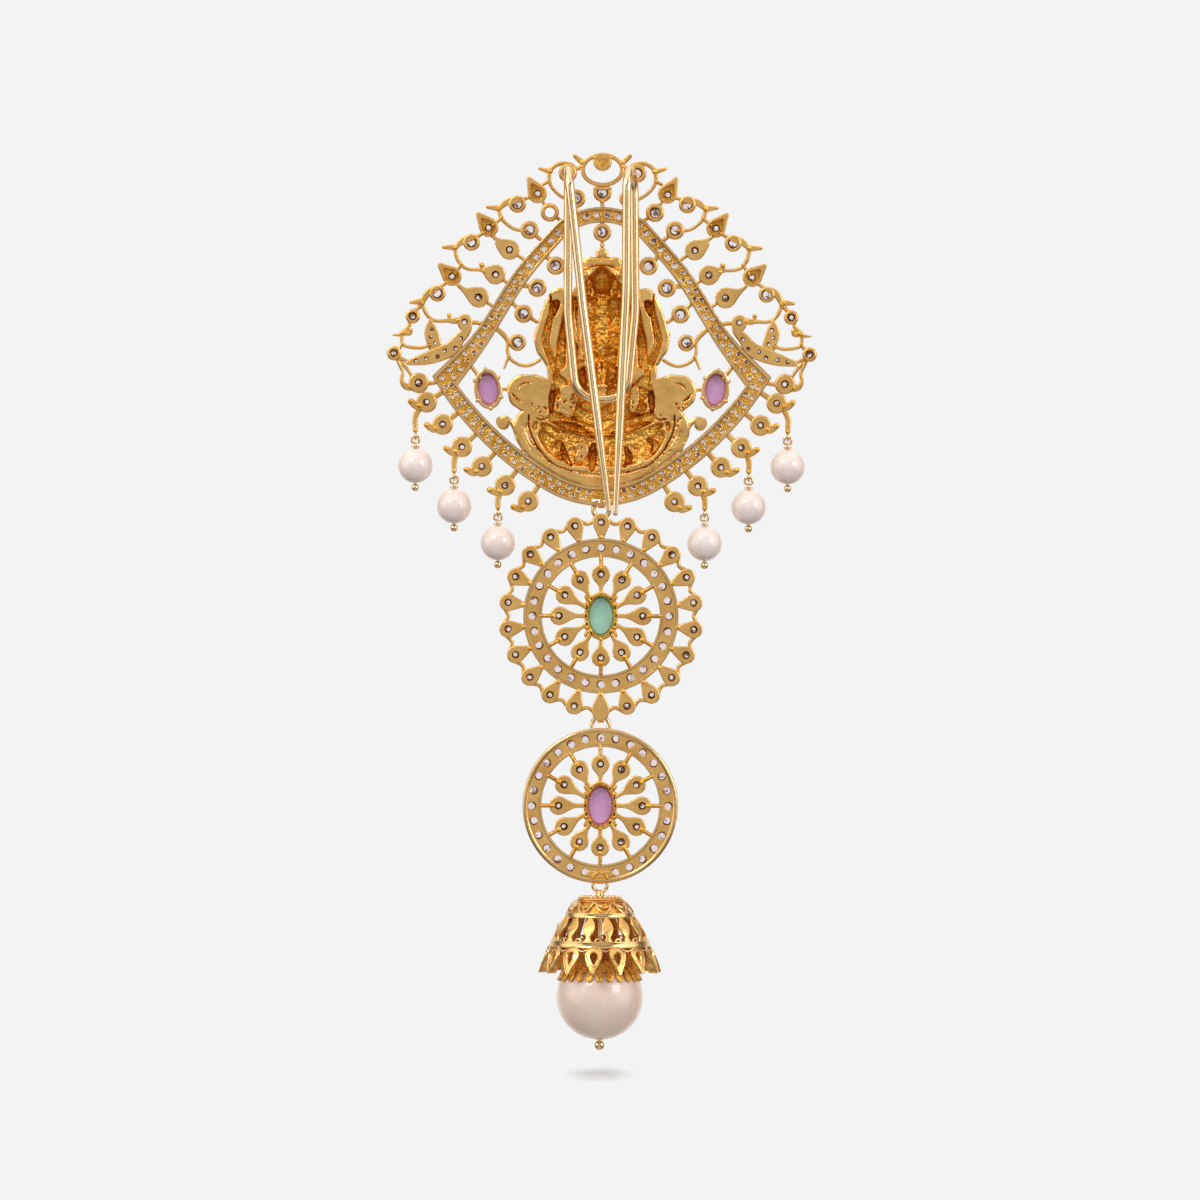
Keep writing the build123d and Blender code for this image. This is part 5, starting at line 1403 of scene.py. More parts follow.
def bell_forms():
    satin, bright, inside, gems = [], [], [], []
    bright.append(bell_band(bell_rail_1_drop, bell_rail_1_radius, bell_rail * 1.35, 0.62))
    bright.append(bell_band(bell_rail_2_drop, bell_rail_2_radius, bell_rail * 1.7, 0.62))
    bright.append(bell_band(0.42, bell_radius(0.42) + 0.16, 0.3, 0.5))
    dome = [(0.3, 0.0), (1.4, -0.02), (2.3, -0.10), (bell_radius(0.2), -0.25),
            (bell_radius(0.8) - 0.12, -0.8), (bell_radius(0.8) - 0.6, -0.8), (0.3, -0.6)]
    satin.append(lathe(dome, (0, hang_y, bell_top_z), "Z", 96, closed=True))
    lining = [(bell_radius(drop) - 0.32, -drop) for drop in (0.3, 0.9, 1.6, 2.4, bell_rail_1_drop)]
    lining += [(bell_radius(drop) - 0.62, -drop) for drop in (bell_rail_1_drop, 2.2, 1.4, 0.8)]
    inside.append(lathe(lining, (0, hang_y, bell_top_z), "Z", 96, closed=True))
    for n in range(bell_bead_count):
        centre = about_axis(bell_radius(0.1) + 0.02, 2 * math.pi * n / bell_bead_count, bell_top_z - 0.16)
        bright.append(ball(centre, 0.24, 8))
    for n in range(bell_peak_count):
        turn = 360 * n / bell_peak_count - 12
        pitch = 2 * math.pi * bell_radius(1.6) / bell_peak_count
        zigzag = [(-pitch / 2, 0.06, -2.35), (-pitch * 0.26, 0.08, -1.75), (0, 0.1, -0.72),
                  (pitch * 0.26, 0.08, -1.75), (pitch / 2, 0.06, -2.35)]
        bright.append(on_bell(tube(smooth(zigzag, 4), 0.15, 8), turn))
        arch = [(pitch * 0.2, 0.05, -1.1), (pitch / 2, 0.07, -1.5), (pitch * 0.8, 0.05, -1.1)]
        bright.append(on_bell(tube(smooth(arch, 5), 0.12, 8), turn))
    for n in range(bell_leaf_count):
        turn = 360 * n / bell_leaf_count - 15
        leaf = [(0, -2.95, 0.20), (0, -3.6, 0.55), (0, -4.4, 0.88), (0, -5.3, 0.46), (0, -5.8, 0.34),
                (0, -6.5, 0.62)]
        holes = []
        if facing_front(turn):
            leaf = [(0, -2.95, 0.8), (0, -3.6, 1.08), (0, -4.5, 1.24), (0, -5.4, 1.2), (0, -6.4, 1.05)]
            holes = [bore((0, -4.5), bell_stone * 0.7, bell_stone + 0.04, -0.55, 0.0, -0.3, 0.05, 14)]
            gems.append(bell_gem(turn, 4.5, -0.18))
        satin.append(on_bell(plate(ribbon(leaf, 4), -0.55, 0.0, holes, 0.12), turn))
        turns = np.linspace(0, 2 * np.pi, 25)[:-1]
        eye = [(0.42 * math.cos(t), -0.22, -6.35 + 0.42 * math.sin(t)) for t in turns]
        bright.append(on_bell(tube(eye, 0.15, 8, closed=True), turn + 180 / bell_leaf_count))
    for n in range(bell_skirt_count):
        turn = 360 * n / bell_skirt_count - 6.5
        pear = [(0, -8.25, 1.26), (0, -9.1, 0.98), (0, -9.9, 0.60), (0, -10.6, 0.36)]
        if facing_front(turn):
            holes = [bore((0, -8.35), bell_stone * 0.7, bell_stone + 0.04, -1.2, 0.15, -0.15, 0.05, 14)]
            gems.append(bell_gem(turn, 8.35, -0.02))
        else:
            mouth = ribbon([(0, -8.35, 0.52), (0, -8.85, 0.34), (0, -9.45, 0.10)], 5)
            holes = [[(mouth(-0.1), -1.2), (mouth(0), -1.1), (mouth(0), 0.05), (mouth(-0.1), 0.15)]]
        satin.append(on_bell(plate(ribbon(pear, 5), -1.2, 0.08, holes, 0.12), turn))
        edge_wires = [ribbon(pear, 5)(0.1)]
        if not facing_front(turn):
            edge_wires.append(mouth(-0.12))
        for loop in edge_wires:
            bright.append(on_bell(tube([(x, 0.1, z) for x, z in loop], 0.1, 6, closed=True), turn))
        satin.append(on_bell(plate(ribbon([(0, -6.9, 0.3), (0, -7.3, 0.26)], 3), -0.4, 0.0, (), 0.12), turn))
        pitch = 2 * math.pi * bell_radius(7.4) / bell_skirt_count
        swag = [(pitch * 0.14, 0.04, -7.15), (pitch * 0.3, 0.06, -7.5), (pitch * 0.5, 0.06, -7.7),
                (pitch * 0.7, 0.06, -7.5), (pitch * 0.86, 0.04, -7.15)]
        bright.append(on_bell(tube(smooth(swag, 4), 0.13, 8), turn))
    return satin, bright, inside, gems


def make_bell():
    satin, bright, inside, gems = bell_forms()
    pivot = pivot_heights[2]
    ring = wire_ring((0, hang_y, pivot - link_3.radius), link_3.radius, link_3.wire, "Y")
    eye_z = bell_top_z - bell_wall - bell_eye_radius + bell_eye_wire / 2
    eye = wire_ring((0, hang_y, eye_z), bell_eye_radius, bell_eye_wire, "Y")
    stem_top = pivot - 2 * link_3.radius + link_3.wire * 0.5
    stem = lathe([(0.02, stem_top), (0.42, stem_top), (0.48, stem_top - 0.2), (0.62, bell_top_z + 0.05),
                  (0.9, bell_top_z - 0.05), (0.02, bell_top_z - 0.3)], (0, hang_y, 0), "Z", 28)
    # The bell's lining takes the darker gold, which paints the shade inside the bell.
    gold_pieces = [
        ("bell_plates", satin, cast_gold),
        ("bell_lining", inside, painted_shade_gold),
        ("bell_rails", bright + [stem], rail_gold),
        ("bell_links", [ring, eye], polished_gold),
    ]
    for name, forms, material in gold_pieces:
        build(name, forms, material, "bell_body", ["bell"])
    build("bell_gems", gems, rose_gem, "bell_body", ["bell_stones"], faceted=True)


# Large pearl and its toothed cap

big_pearl_radius = 6.2
big_pin_wire = 0.56
big_ball_radius = 0.72
cap_wall = 0.3
cap_tooth_count = 24
cap_tooth_polar = 58
pin_loop_radius = 0.61
pin_loop_wire = 0.24
big_pearl_z = bell_top_z - bell_skirt_drop - 3.45
pearl_pivot_z = bell_top_z - bell_wall - 2 * bell_eye_radius + bell_eye_wire / 2


def on_pearl(form, turn, radius):
    """Wraps a form drawn as (arc, depth outwards, arc from the top) over the pearl."""
    points = []
    for x, y, z in form.points:
        polar = -z / radius
        angle = math.radians(turn) + x / (radius * math.sin(math.radians(cap_tooth_polar)))
        height = big_pearl_z + (radius + y) * math.cos(polar)
        points.append(about_axis((radius + y) * math.sin(polar), angle, height))
    return Form(np.array(points), form.faces)


def make_big_pearl():
    middle = (0, hang_y, big_pearl_z)
    pearl("large_pearl", middle, big_pearl_radius, big_pin_wire, pearl_large, "pearl_drop", "big_pearl")
    inner = big_pearl_radius + bead_gap
    outer = inner + cap_wall
    first = math.asin((big_pin_wire / 2 + bead_gap) / inner)
    turns = np.linspace(first, math.radians(55), 16)
    shell = [(outer * math.sin(t), outer * math.cos(t)) for t in turns]
    shell += [(inner * math.sin(t), inner * math.cos(t)) for t in reversed(turns)]
    forms = [lathe(shell, middle, "Z", 96, closed=True)]
    # The tooth's outline: angle from the pearl's top, and radius
    tooth_rows = [(50, 0.42), (57, 0.46), (62, 0.52), (66, 0.34)]
    tooth = ribbon([(0, -math.radians(angle) * inner, radius) for angle, radius in tooth_rows], 4)
    form = plate(tooth, 0.0, cap_wall + 0.04, (), 0.12)
    for n in range(cap_tooth_count):
        forms.append(on_pearl(form, 360 * n / cap_tooth_count, inner))
    # The cap takes the darker gold, which paints its shade.
    build("large_pearl_cap", forms, painted_shade_gold, "pearl_drop", ["big_pearl_cap"])
    ball_z = big_pearl_z - big_pearl_radius - big_ball_radius - bead_gap
    loop = []
    for turn in np.linspace(0, 2 * np.pi, 29)[:-1]:
        out, up = pin_loop_radius * math.sin(turn), -pin_loop_radius * math.cos(turn)
        loop.append((0, hang_y + out, pearl_pivot_z + up))
    end = (0, hang_y, ball_z)
    forms = [
        tube(loop, pin_loop_wire, 12, closed=True),
        tube([(0, hang_y, pearl_pivot_z - pin_loop_radius), middle, end], big_pin_wire / 2, 12),
        ball(end, big_ball_radius, 24),
    ]
    build("large_pearl_pin", forms, polished_gold, "pearl_drop", ["big_pearl_pin"])


# Figure. Its front and back are worked out over one grid. Places are shares: across of the
# half width, up of the height, radius of the half width; depths of the relief.

figure_half_width = 9.7
figure_height = 33.0
figure_plate = 1.3
figure_skin = 0.6
figure_relief = 5.2
figure_base_z = band_bottom_z + 3.85
figure_step = 0.105

figure_rows = {
    "crown": [(0, 0.980, 0.09), (0, 0.935, 0.13), (0, 0.845, 0.27), (0, 0.77, 0.45)],
    "crown_side": [(-0.10, 0.945, 0.070), (-0.21, 0.942, 0.070), (-0.225, 0.90, 0.080), (-0.24, 0.85, 0.12)],
    "torso": [(0, 0.77, 0.45), (0, 0.42, 0.72)],
    "arm": [(-0.62, 0.775, 0.19), (-0.72, 0.70, 0.2), (-0.76, 0.655, 0.20), (-0.77, 0.60, 0.235),
            (-0.70, 0.545, 0.20), (-0.62, 0.50, 0.20), (-0.62, 0.39, 0.2)],
    "leg": [(0, 0.33, 0.3), (-0.58, 0.32, 0.22)],
    "seat": [(0, 0.16, 0.34), (-0.76, 0.19, 0.22), (-0.58, 0.10, 0.18), (0, 0.075, 0.2)],
    "seat_side": [(-0.72, 0.268, 0.09), (-0.85, 0.255, 0.11), (-1.00, 0.235, 0.10), (-0.99, 0.18, 0.09),
                  (-0.87, 0.125, 0.08)],
    "scroll": [(-0.76, 0.39, 0.16), (-1.147, 0.379, 0.25), (-0.897, 0.31, 0.17)],
    "fiddlehead": [(-1.464, 0.242, 0.098), (-1.406, 0.258, 0.06), (-1.331, 0.245, 0.032),
                   (-1.28, 0.208, 0.026), (-1.231, 0.169, 0.026), (-1.16, 0.128, 0.031)],
    "stem": [(-0.93, 0.31, 0.12), (-1.16, 0.26, 0.1), (-1.20, 0.205, 0.085), (-1.11, 0.147, 0.085),
             (-0.94, 0.095, 0.085), (-0.72, 0.050, 0.085), (-0.38, 0.003, 0.09), (0, -0.012, 0.095)],
}
Ball = namedtuple("Ball", "across up depth radius")
middle_forms = [
    (Ball(0, 0.868, 0.48, 0.165), Ball(0, 0.845, 0.48, 0.135)),
    (Ball(0, 0.918, 0.42, 0.17), Ball(0, 0.945, 0.40, 0.13)),
    (Ball(0, 0.955, 0.38, 0.10), Ball(0, 0.985, 0.36, 0.06)),
    (Ball(0, 0.82, 0.36, 0.10), Ball(0, 0.775, 0.38, 0.13)),
    (Ball(-0.24, 0.735, 0.34, 0.17), Ball(0.24, 0.735, 0.34, 0.17)),
    (Ball(0, 0.70, 0.38, 0.27), Ball(0, 0.52, 0.40, 0.21)),
    (Ball(-0.20, 0.41, 0.40, 0.25), Ball(0.20, 0.41, 0.40, 0.25)),
    (Ball(0, 0.38, 0.44, 0.22), Ball(0, 0.31, 0.44, 0.16)),
    (Ball(-0.58, 0.245, 0.40, 0.11), Ball(0.58, 0.245, 0.40, 0.11)),
    (Ball(-0.50, 0.17, 0.30, 0.19), Ball(0.50, 0.17, 0.30, 0.19)),
    (Ball(-0.48, 0.065, 0.24, 0.13), Ball(0.48, 0.065, 0.24, 0.13)),
]
side_forms = [
    (Ball(-0.16, 0.385, 0.50, 0.18), Ball(-0.66, 0.335, 0.46, 0.17)),
    (Ball(-0.64, 0.315, 0.52, 0.13), Ball(0.02, 0.288, 0.66, 0.09)),
    (Ball(0.02, 0.288, 0.66, 0.09), Ball(0.20, 0.300, 0.70, 0.06)),
    (Ball(-0.38, 0.735, 0.38, 0.12), Ball(-0.57, 0.575, 0.44, 0.095)),
    (Ball(-0.57, 0.575, 0.44, 0.095), Ball(-0.47, 0.455, 0.66, 0.065)),
    (Ball(-0.46, 0.442, 0.68, 0.085), Ball(-0.42, 0.410, 0.70, 0.055)),
    (Ball(-0.42, 0.755, 0.28, 0.10), Ball(-0.74, 0.665, 0.30, 0.085)),
    (Ball(-0.74, 0.665, 0.30, 0.085), Ball(-0.70, 0.765, 0.38, 0.06)),
    (Ball(-0.69, 0.785, 0.40, 0.095), Ball(-0.67, 0.822, 0.40, 0.05)),
    (Ball(-0.78, 0.135, 0.22, 0.10), Ball(-0.87, 0.195, 0.26, 0.11)),
    (Ball(-0.87, 0.195, 0.26, 0.11), Ball(-0.84, 0.262, 0.28, 0.03)),
]
# Upright petals, and smaller ones hanging between them
petal_places = [-0.66, -0.44, -0.22, 0, 0.22, 0.44, 0.66]
low_petal_places = [-0.55, -0.33, -0.11, 0.11, 0.33, 0.55]

# Lines raised or sunk on the front, left half: height in millimetres, then (across, up, radius)
front_lines = {
    "brow": (0.12, [(-0.125, 0.8735, 0.012), (-0.07, 0.8795, 0.014), (-0.022, 0.8725, 0.012)]),
    "eyelid": (0.20, [(-0.115, 0.8615, 0.008), (-0.07, 0.8630, 0.026), (-0.032, 0.8605, 0.010)]),
    "eye_line": (-0.12, [(-0.115, 0.8580, 0.010), (-0.07, 0.8550, 0.012), (-0.032, 0.8575, 0.010)]),
    "nose": (0.34, [(0, 0.872, 0.012), (0, 0.855, 0.016), (0, 0.8435, 0.032)]),
    "lips": (0.20, [(-0.050, 0.8300, 0.008), (-0.015, 0.8310, 0.015), (0, 0.8300, 0.014)]),
    "lip": (0.16, [(-0.030, 0.8235, 0.010), (0, 0.8225, 0.017)]),
    "chin": (0.14, [(-0.01, 0.8110, 0.032), (0, 0.8110, 0.032)]),
    "ear": (0.50, [(-0.175, 0.872, 0.020), (-0.192, 0.857, 0.030), (-0.185, 0.838, 0.034)]),
    "ear_drop": (0.60, [(-0.200, 0.818, 0.046), (-0.200, 0.798, 0.028)]),
    "crown_band": (0.32, [(-0.165, 0.899, 0.024), (-0.09, 0.906, 0.026), (0, 0.909, 0.028)]),
    "crown_tier": (0.28, [(-0.120, 0.938, 0.020), (-0.06, 0.944, 0.022), (0, 0.945, 0.022)]),
    "crown_jewel": (0.45, [(-0.005, 0.924, 0.034), (0, 0.928, 0.034)]),
    "crown_wing": (0.45, [(-0.225, 0.885, 0.025), (-0.265, 0.915, 0.040), (-0.215, 0.950, 0.030)]),
    "hair_lock": (0.35, [(-0.255, 0.860, 0.035), (-0.295, 0.820, 0.045), (-0.33, 0.790, 0.035)]),
    "collar": (0.26, [(-0.20, 0.795, 0.022), (-0.11, 0.766, 0.028), (0, 0.757, 0.032)]),
    "pendant": (0.34, [(0, 0.742, 0.030), (0, 0.728, 0.048)]),
    "garland": (0.24, [(-0.27, 0.765, 0.020), (-0.25, 0.66, 0.026), (-0.14, 0.575, 0.030),
                       (0, 0.548, 0.034)]),
    "sash": (0.18, [(-0.21, 0.690, 0.020), (-0.10, 0.660, 0.022), (0, 0.652, 0.024)]),
    "navel": (-0.14, [(-0.002, 0.522, 0.018), (0, 0.520, 0.018)]),
    "shawl_edge": (0.38, [(-0.83, 0.730, 0.022), (-0.875, 0.66, 0.028), (-0.92, 0.60, 0.032),
                          (-0.84, 0.54, 0.028), (-0.76, 0.49, 0.024), (-0.75, 0.425, 0.022)]),
    "shawl_fold": (0.30, [(-0.80, 0.63, 0.018), (-0.835, 0.588, 0.022), (-0.77, 0.535, 0.022),
                          (-0.69, 0.485, 0.020), (-0.67, 0.430, 0.016)]),
    "belt": (0.35, [(-0.27, 0.482, 0.03), (-0.12, 0.474, 0.035), (0, 0.472, 0.04)]),
    "armlet": (0.26, [(-0.36, 0.655, 0.022), (-0.47, 0.672, 0.022), (-0.56, 0.685, 0.020)]),
    "bracelet": (0.22, [(-0.56, 0.478, 0.022), (-0.42, 0.490, 0.022)]),
    "wrist_band": (0.22, [(-0.76, 0.752, 0.020), (-0.64, 0.758, 0.020)]),
    "fold_1": (-0.20, [(-0.18, 0.42, 0.014), (-0.42, 0.395, 0.016), (-0.72, 0.36, 0.012)]),
    "fold_2": (-0.20, [(-0.14, 0.385, 0.014), (-0.42, 0.36, 0.016), (-0.76, 0.325, 0.012)]),
    "anklet": (0.24, [(-0.12, 0.315, 0.016), (-0.14, 0.265, 0.016)]),
    "seat_rim": (0.26, [(-0.66, 0.252, 0.022), (-0.40, 0.249, 0.024), (0, 0.247, 0.024)]),
    "seat_waist": (0.30, [(-0.66, 0.118, 0.018), (-0.35, 0.112, 0.020), (0, 0.110, 0.020)]),
    "foot_rim": (0.28, [(-0.66, 0.045, 0.018), (-0.35, 0.03, 0.02), (0, 0.028, 0.02)]),
    "scroll_curl": (0.60, [(-1.24, 0.330, 0.04), (-1.32, 0.365, 0.05), (-1.29, 0.415, 0.05),
                           (-1.16, 0.430, 0.05), (-1.05, 0.405, 0.05), (-1.06, 0.365, 0.045),
                           (-1.15, 0.352, 0.04)]),
    "scroll_eye": (0.70, [(-1.165, 0.386, 0.060), (-1.160, 0.387, 0.060)]),
    "stem_vein": (-0.16, [(-1.17, 0.235, 0.012), (-1.10, 0.15, 0.014), (-0.90, 0.09, 0.014),
                          (-0.70, 0.058, 0.010)]),
}
# Rows of beads on the front, left half: the line's name, beads along it and their radius
front_beads = [
    ("crown_band", 5, 0.022), ("crown_tier", 4, 0.02), ("collar", 5, 0.026), ("garland", 13, 0.02),
    ("belt", 5, 0.028), ("seat_rim", 12, 0.020), ("seat_waist", 12, 0.018), ("foot_rim", 12, 0.017),
    ("armlet", 4, 0.02), ("wrist_band", 3, 0.02),
]
# Hollows cast in the back, left half: depth and softness in millimetres, then (across, up, radius)
hollows = {
    "head": (3.4, 0.6, [(0, 0.893, 0.11), (0, 0.865, 0.16), (0, 0.835, 0.19)]),
    "head_side": (2.8, 0.5, [(-0.13, 0.862, 0.09), (-0.25, 0.815, 0.09), (-0.30, 0.785, 0.06)]),
    "chest": (2.3, 0.8, [(0, 0.83, 0.27), (0, 0.72, 0.31), (0, 0.58, 0.31), (0, 0.48, 0.28)]),
    "shoulder": (0.8, 0.35, [(-0.40, 0.775, 0.07), (-0.42, 0.70, 0.06), (-0.40, 0.60, 0.06),
                             (-0.42, 0.50, 0.07)]),
    "belly": (2.4, 0.6, [(-0.30, 0.50, 0.07), (-0.31, 0.46, 0.10), (-0.27, 0.425, 0.08)]),
    "belly_side": (1.9, 0.6, [(-0.10, 0.47, 0.07), (-0.13, 0.41, 0.07)]),
    "arm_gap": (2.4, 0.30, [(-0.730, 0.765, 0.030), (-0.665, 0.765, 0.050), (-0.690, 0.735, 0.045),
                            (-0.705, 0.710, 0.018)]),
    "arm_line": (1.0, 0.3, [(-0.76, 0.80, 0.02), (-0.755, 0.72, 0.045), (-0.80, 0.655, 0.06),
                            (-0.83, 0.60, 0.065), (-0.775, 0.54, 0.06), (-0.68, 0.47, 0.06),
                            (-0.67, 0.43, 0.06)]),
    "arm_pocket": (1.1, 0.4, [(-0.53, 0.74, 0.04), (-0.56, 0.66, 0.06), (-0.595, 0.585, 0.08),
                              (-0.61, 0.50, 0.085)]),
    "slit": (2.6, 0.3, [(-0.715, 0.405, 0.028), (-0.735, 0.35, 0.055), (-0.745, 0.295, 0.036)]),
    "lap": (1.2, 0.5, [(-0.64, 0.44, 0.06), (-0.53, 0.375, 0.17), (-0.24, 0.355, 0.18), (0, 0.35, 0.19)]),
    "lap_low": (1.1, 0.4, [(-0.60, 0.315, 0.08), (-0.30, 0.29, 0.10), (0, 0.285, 0.11)]),
    "rim_line": (0.35, 0.15, [(-0.66, 0.055, 0.012), (-0.35, 0.035, 0.014), (0, 0.030, 0.014)]),
    "robe": (1.0, 0.4, [(-0.70, 0.268, 0.10), (-0.40, 0.240, 0.14), (0, 0.228, 0.13)]),
    "robe_low": (0.8, 0.4, [(-0.86, 0.232, 0.06), (-0.60, 0.192, 0.10), (-0.30, 0.168, 0.11),
                            (0, 0.162, 0.11)]),
    "lotus": (0.9, 0.7, [(-0.84, 0.190, 0.12), (-0.66, 0.135, 0.17), (-0.35, 0.110, 0.19), (0, 0.105, 0.19)]),
    "lobe_edge": (0.5, 0.12, [(-0.72, 0.31, 0.012), (-0.77, 0.275, 0.014), (-0.87, 0.258, 0.014),
                              (-0.97, 0.265, 0.012)]),
    "seat_corner": (0.45, 0.3, [(-0.975, 0.243, 0.04), (-0.985, 0.222, 0.05)]),
    "crown_line": (0.5, 0.2, [(-0.25, 0.908, 0.016), (-0.13, 0.925, 0.018), (0, 0.930, 0.02)]),
    "crown_tier": (0.45, 0.2, [(-0.14, 0.957, 0.012), (0, 0.964, 0.016)]),
    "scroll_curl": (0.35, 0.12, [(-1.235, 0.392, 0.010), (-1.20, 0.408, 0.014), (-1.14, 0.417, 0.014),
                                 (-1.06, 0.418, 0.010)]),
    "scroll_tip": (0.5, 0.15, [(-1.33, 0.372, 0.010), (-1.27, 0.352, 0.020), (-1.20, 0.338, 0.012)]),
    "stem_line": (0.9, 0.12, [(-1.075, 0.277, 0.012), (-1.075, 0.233, 0.016), (-1.03, 0.186, 0.016),
                              (-0.943, 0.138, 0.016), (-0.825, 0.095, 0.014), (-0.66, 0.058, 0.012),
                              (-0.36, 0.030, 0.012), (0, 0.020, 0.012)]),
    "stem_edge": (0.25, 0.15, [(-1.17, 0.25, 0.010), (-1.15, 0.19, 0.012), (-1.02, 0.12, 0.012)]),
}
# Deep pockets between the lotus petals, which differ from left to right
petal_pockets = {
    "specks": (1.6, 0.15, [(-0.58, 0.250, 0.018), (-0.40, 0.240, 0.024), (-0.26, 0.222, 0.016)]),
    "left": (2.1, 0.4, [(-0.58, 0.150, 0.045), (-0.55, 0.105, 0.075), (-0.45, 0.062, 0.035)]),
    "left_inner": (2.3, 0.4, [(-0.12, 0.150, 0.050), (-0.13, 0.100, 0.085), (-0.14, 0.045, 0.055)]),
    "right_inner": (2.0, 0.4, [(0.36, 0.135, 0.050), (0.41, 0.095, 0.075), (0.34, 0.058, 0.035)]),
    "right": (2.0, 0.4, [(0.70, 0.172, 0.055), (0.79, 0.148, 0.075), (0.72, 0.105, 0.040)]),
}
petal_backs = {
    "knee": (1.3, 0.3, [(-0.545, 0.385, 0.105), (-0.475, 0.385, 0.100), (-0.485, 0.350, 0.145),
                        (-0.515, 0.322, 0.150), (-0.49, 0.292, 0.105)]),
    "knee_tail": (1.0, 0.35, [(-0.42, 0.345, 0.05), (-0.33, 0.338, 0.03)]),
    "far_knee": (1.3, 0.25, [(0.49, 0.390, 0.075), (0.485, 0.350, 0.088), (0.46, 0.305, 0.070)]),
    "large": (1.6, 0.35, [(-0.34, 0.143, 0.080), (-0.27, 0.143, 0.080), (-0.28, 0.118, 0.110),
                          (-0.32, 0.096, 0.095)]),
    "small": (1.2, 0.25, [(0.13, 0.138, 0.035), (0.13, 0.082, 0.040)]),
    "right": (0.45, 0.5, [(0.59, 0.145, 0.09), (0.58, 0.090, 0.08)]),
    "ridge": (0.7, 0.12, [(-0.68, 0.178, 0.018), (-0.655, 0.125, 0.018), (-0.63, 0.090, 0.012)]),
}
# Places pitted by the casting: depth of the pits, places
pitted = [
    (0.60, [(-0.53, 0.380, 0.07), (-0.45, 0.355, 0.07), (-0.50, 0.320, 0.09)]),
    (0.45, [(0.49, 0.350, 0.04), (0.46, 0.310, 0.04)]),
    (0.60, [(-0.31, 0.125, 0.055), (-0.31, 0.100, 0.060)]),
    (0.40, [(-1.00, 0.318, 0.06), (-0.85, 0.290, 0.09)]),
    (0.40, [(0.98, 0.280, 0.05), (0.84, 0.272, 0.06)]),
    (0.45, [(1.12, 0.315, 0.07), (1.19, 0.300, 0.07), (1.30, 0.315, 0.06)]),
    (0.45, [(1.13, 0.275, 0.045), (1.14, 0.215, 0.045), (1.08, 0.160, 0.05)]),
    (0.30, [(-1.02, 0.150, 0.03), (-0.90, 0.095, 0.03), (-0.76, 0.062, 0.03)]),
    (0.30, [(0.55, 0.045, 0.05), (0.76, 0.075, 0.05), (0.98, 0.130, 0.05)]),
]
# Rough lumps left in those hollows, left half: height, softness, places
lumps = {
    "chest_grain": (0.75, 0.9, [(0, 0.78, 0.14), (-0.02, 0.66, 0.15), (0, 0.56, 0.14)]),
    "chest_side": (0.35, 0.4, [(-0.16, 0.60, 0.05), (-0.17, 0.56, 0.05)]),
    "spine": (1.3, 0.5, [(-0.05, 0.50, 0.07), (-0.02, 0.42, 0.08), (0, 0.33, 0.10)]),
    "arm_strip": (0.7, 0.3, [(-0.385, 0.80, 0.02), (-0.41, 0.72, 0.035), (-0.40, 0.64, 0.05),
                             (-0.37, 0.58, 0.03)]),
    "thigh": (0.7, 0.4, [(-0.24, 0.32, 0.08), (-0.12, 0.30, 0.06)]),
    "rib_1": (0.75, 0.16, [(-0.72, 0.252, 0.018), (-0.42, 0.232, 0.022), (-0.06, 0.195, 0.020)]),
    "rib_2": (0.65, 0.16, [(-0.70, 0.225, 0.016), (-0.42, 0.202, 0.020), (-0.10, 0.178, 0.018)]),
    "rib_3": (0.6, 0.16, [(-0.62, 0.28, 0.016), (-0.40, 0.262, 0.018), (-0.12, 0.232, 0.018)]),
}
# Small swellings behind the figure's ears
ear_bumps = (0.45, [(-0.225, 0.903, 0.055), (-0.215, 0.887, 0.065)])


def on_figure(across, up, radius=0.0):
    return (across * figure_half_width, figure_base_z + up * figure_height, radius * figure_half_width)


class Sheet:
    """The figure's grid, and distances over it to chains of circles and to a loop."""

    def __init__(self):
        across = np.arange(0, 14.7, figure_step)
        across = np.concatenate([-across[:0:-1], across])
        up = np.arange(figure_base_z - 0.6, figure_base_z + figure_height + 0.6, figure_step)
        self.x, self.z = np.meshgrid(across, up)

    def chain(self, rows, both=True):
        """Signed distance to circles along a smooth line, mirrored as well unless told not to."""
        best = np.full(self.x.shape, 99.0)
        reach = -np.abs(self.x) if both else self.x
        for x, z, radius in smooth([on_figure(*row) for row in rows], 10):
            best = np.minimum(best, np.hypot(reach - x, self.z - z) - radius)
        return best

    def loop(self, points):
        """Signed distance to a closed loop, negative inside."""
        best = np.full(self.x.shape, 99.0)
        inside = np.zeros(self.x.shape, bool)
        for (ax, az), (bx, bz) in zip(points, points[1:] + points[:1]):
            run_x, run_z = bx - ax, bz - az
            share = ((self.x - ax) * run_x + (self.z - az) * run_z) / (run_x ** 2 + run_z ** 2 + 1e-12)
            share = np.clip(share, 0, 1)
            best = np.minimum(best, np.hypot(self.x - ax - share * run_x, self.z - az - share * run_z))
            if az != bz:
                crossing = (self.x - ax) * run_z - (self.z - az) * run_x
                spans = (az > self.z) != (bz > self.z)
                inside ^= spans & ((crossing < 0) == (run_z > 0))
        return np.where(inside, -best, best)

    def limb(self, first, second):
        """The front of a rounded limb between two balls."""
        px, pz, p_radius = on_figure(first.across, first.up, first.radius)
        qx, qz, q_radius = on_figure(second.across, second.up, second.radius)
        run_x, run_z = qx - px, qz - pz
        share = np.clip(((self.x - px) * run_x + (self.z - pz) * run_z) / (run_x ** 2 + run_z ** 2), 0, 1)
        off = np.hypot(self.x - px - share * run_x, self.z - pz - share * run_z)
        radius = p_radius + share * (q_radius - p_radius)
        depth = (first.depth + share * (second.depth - first.depth)) * figure_relief
        rise = np.sqrt(np.maximum(radius ** 2 - off ** 2, 0))
        return np.where(off < radius, plate_back + depth + rise, plate_back)


def eased(value):
    value = np.clip(value, 0, 1)
    return value * value * (3 - 2 * value)


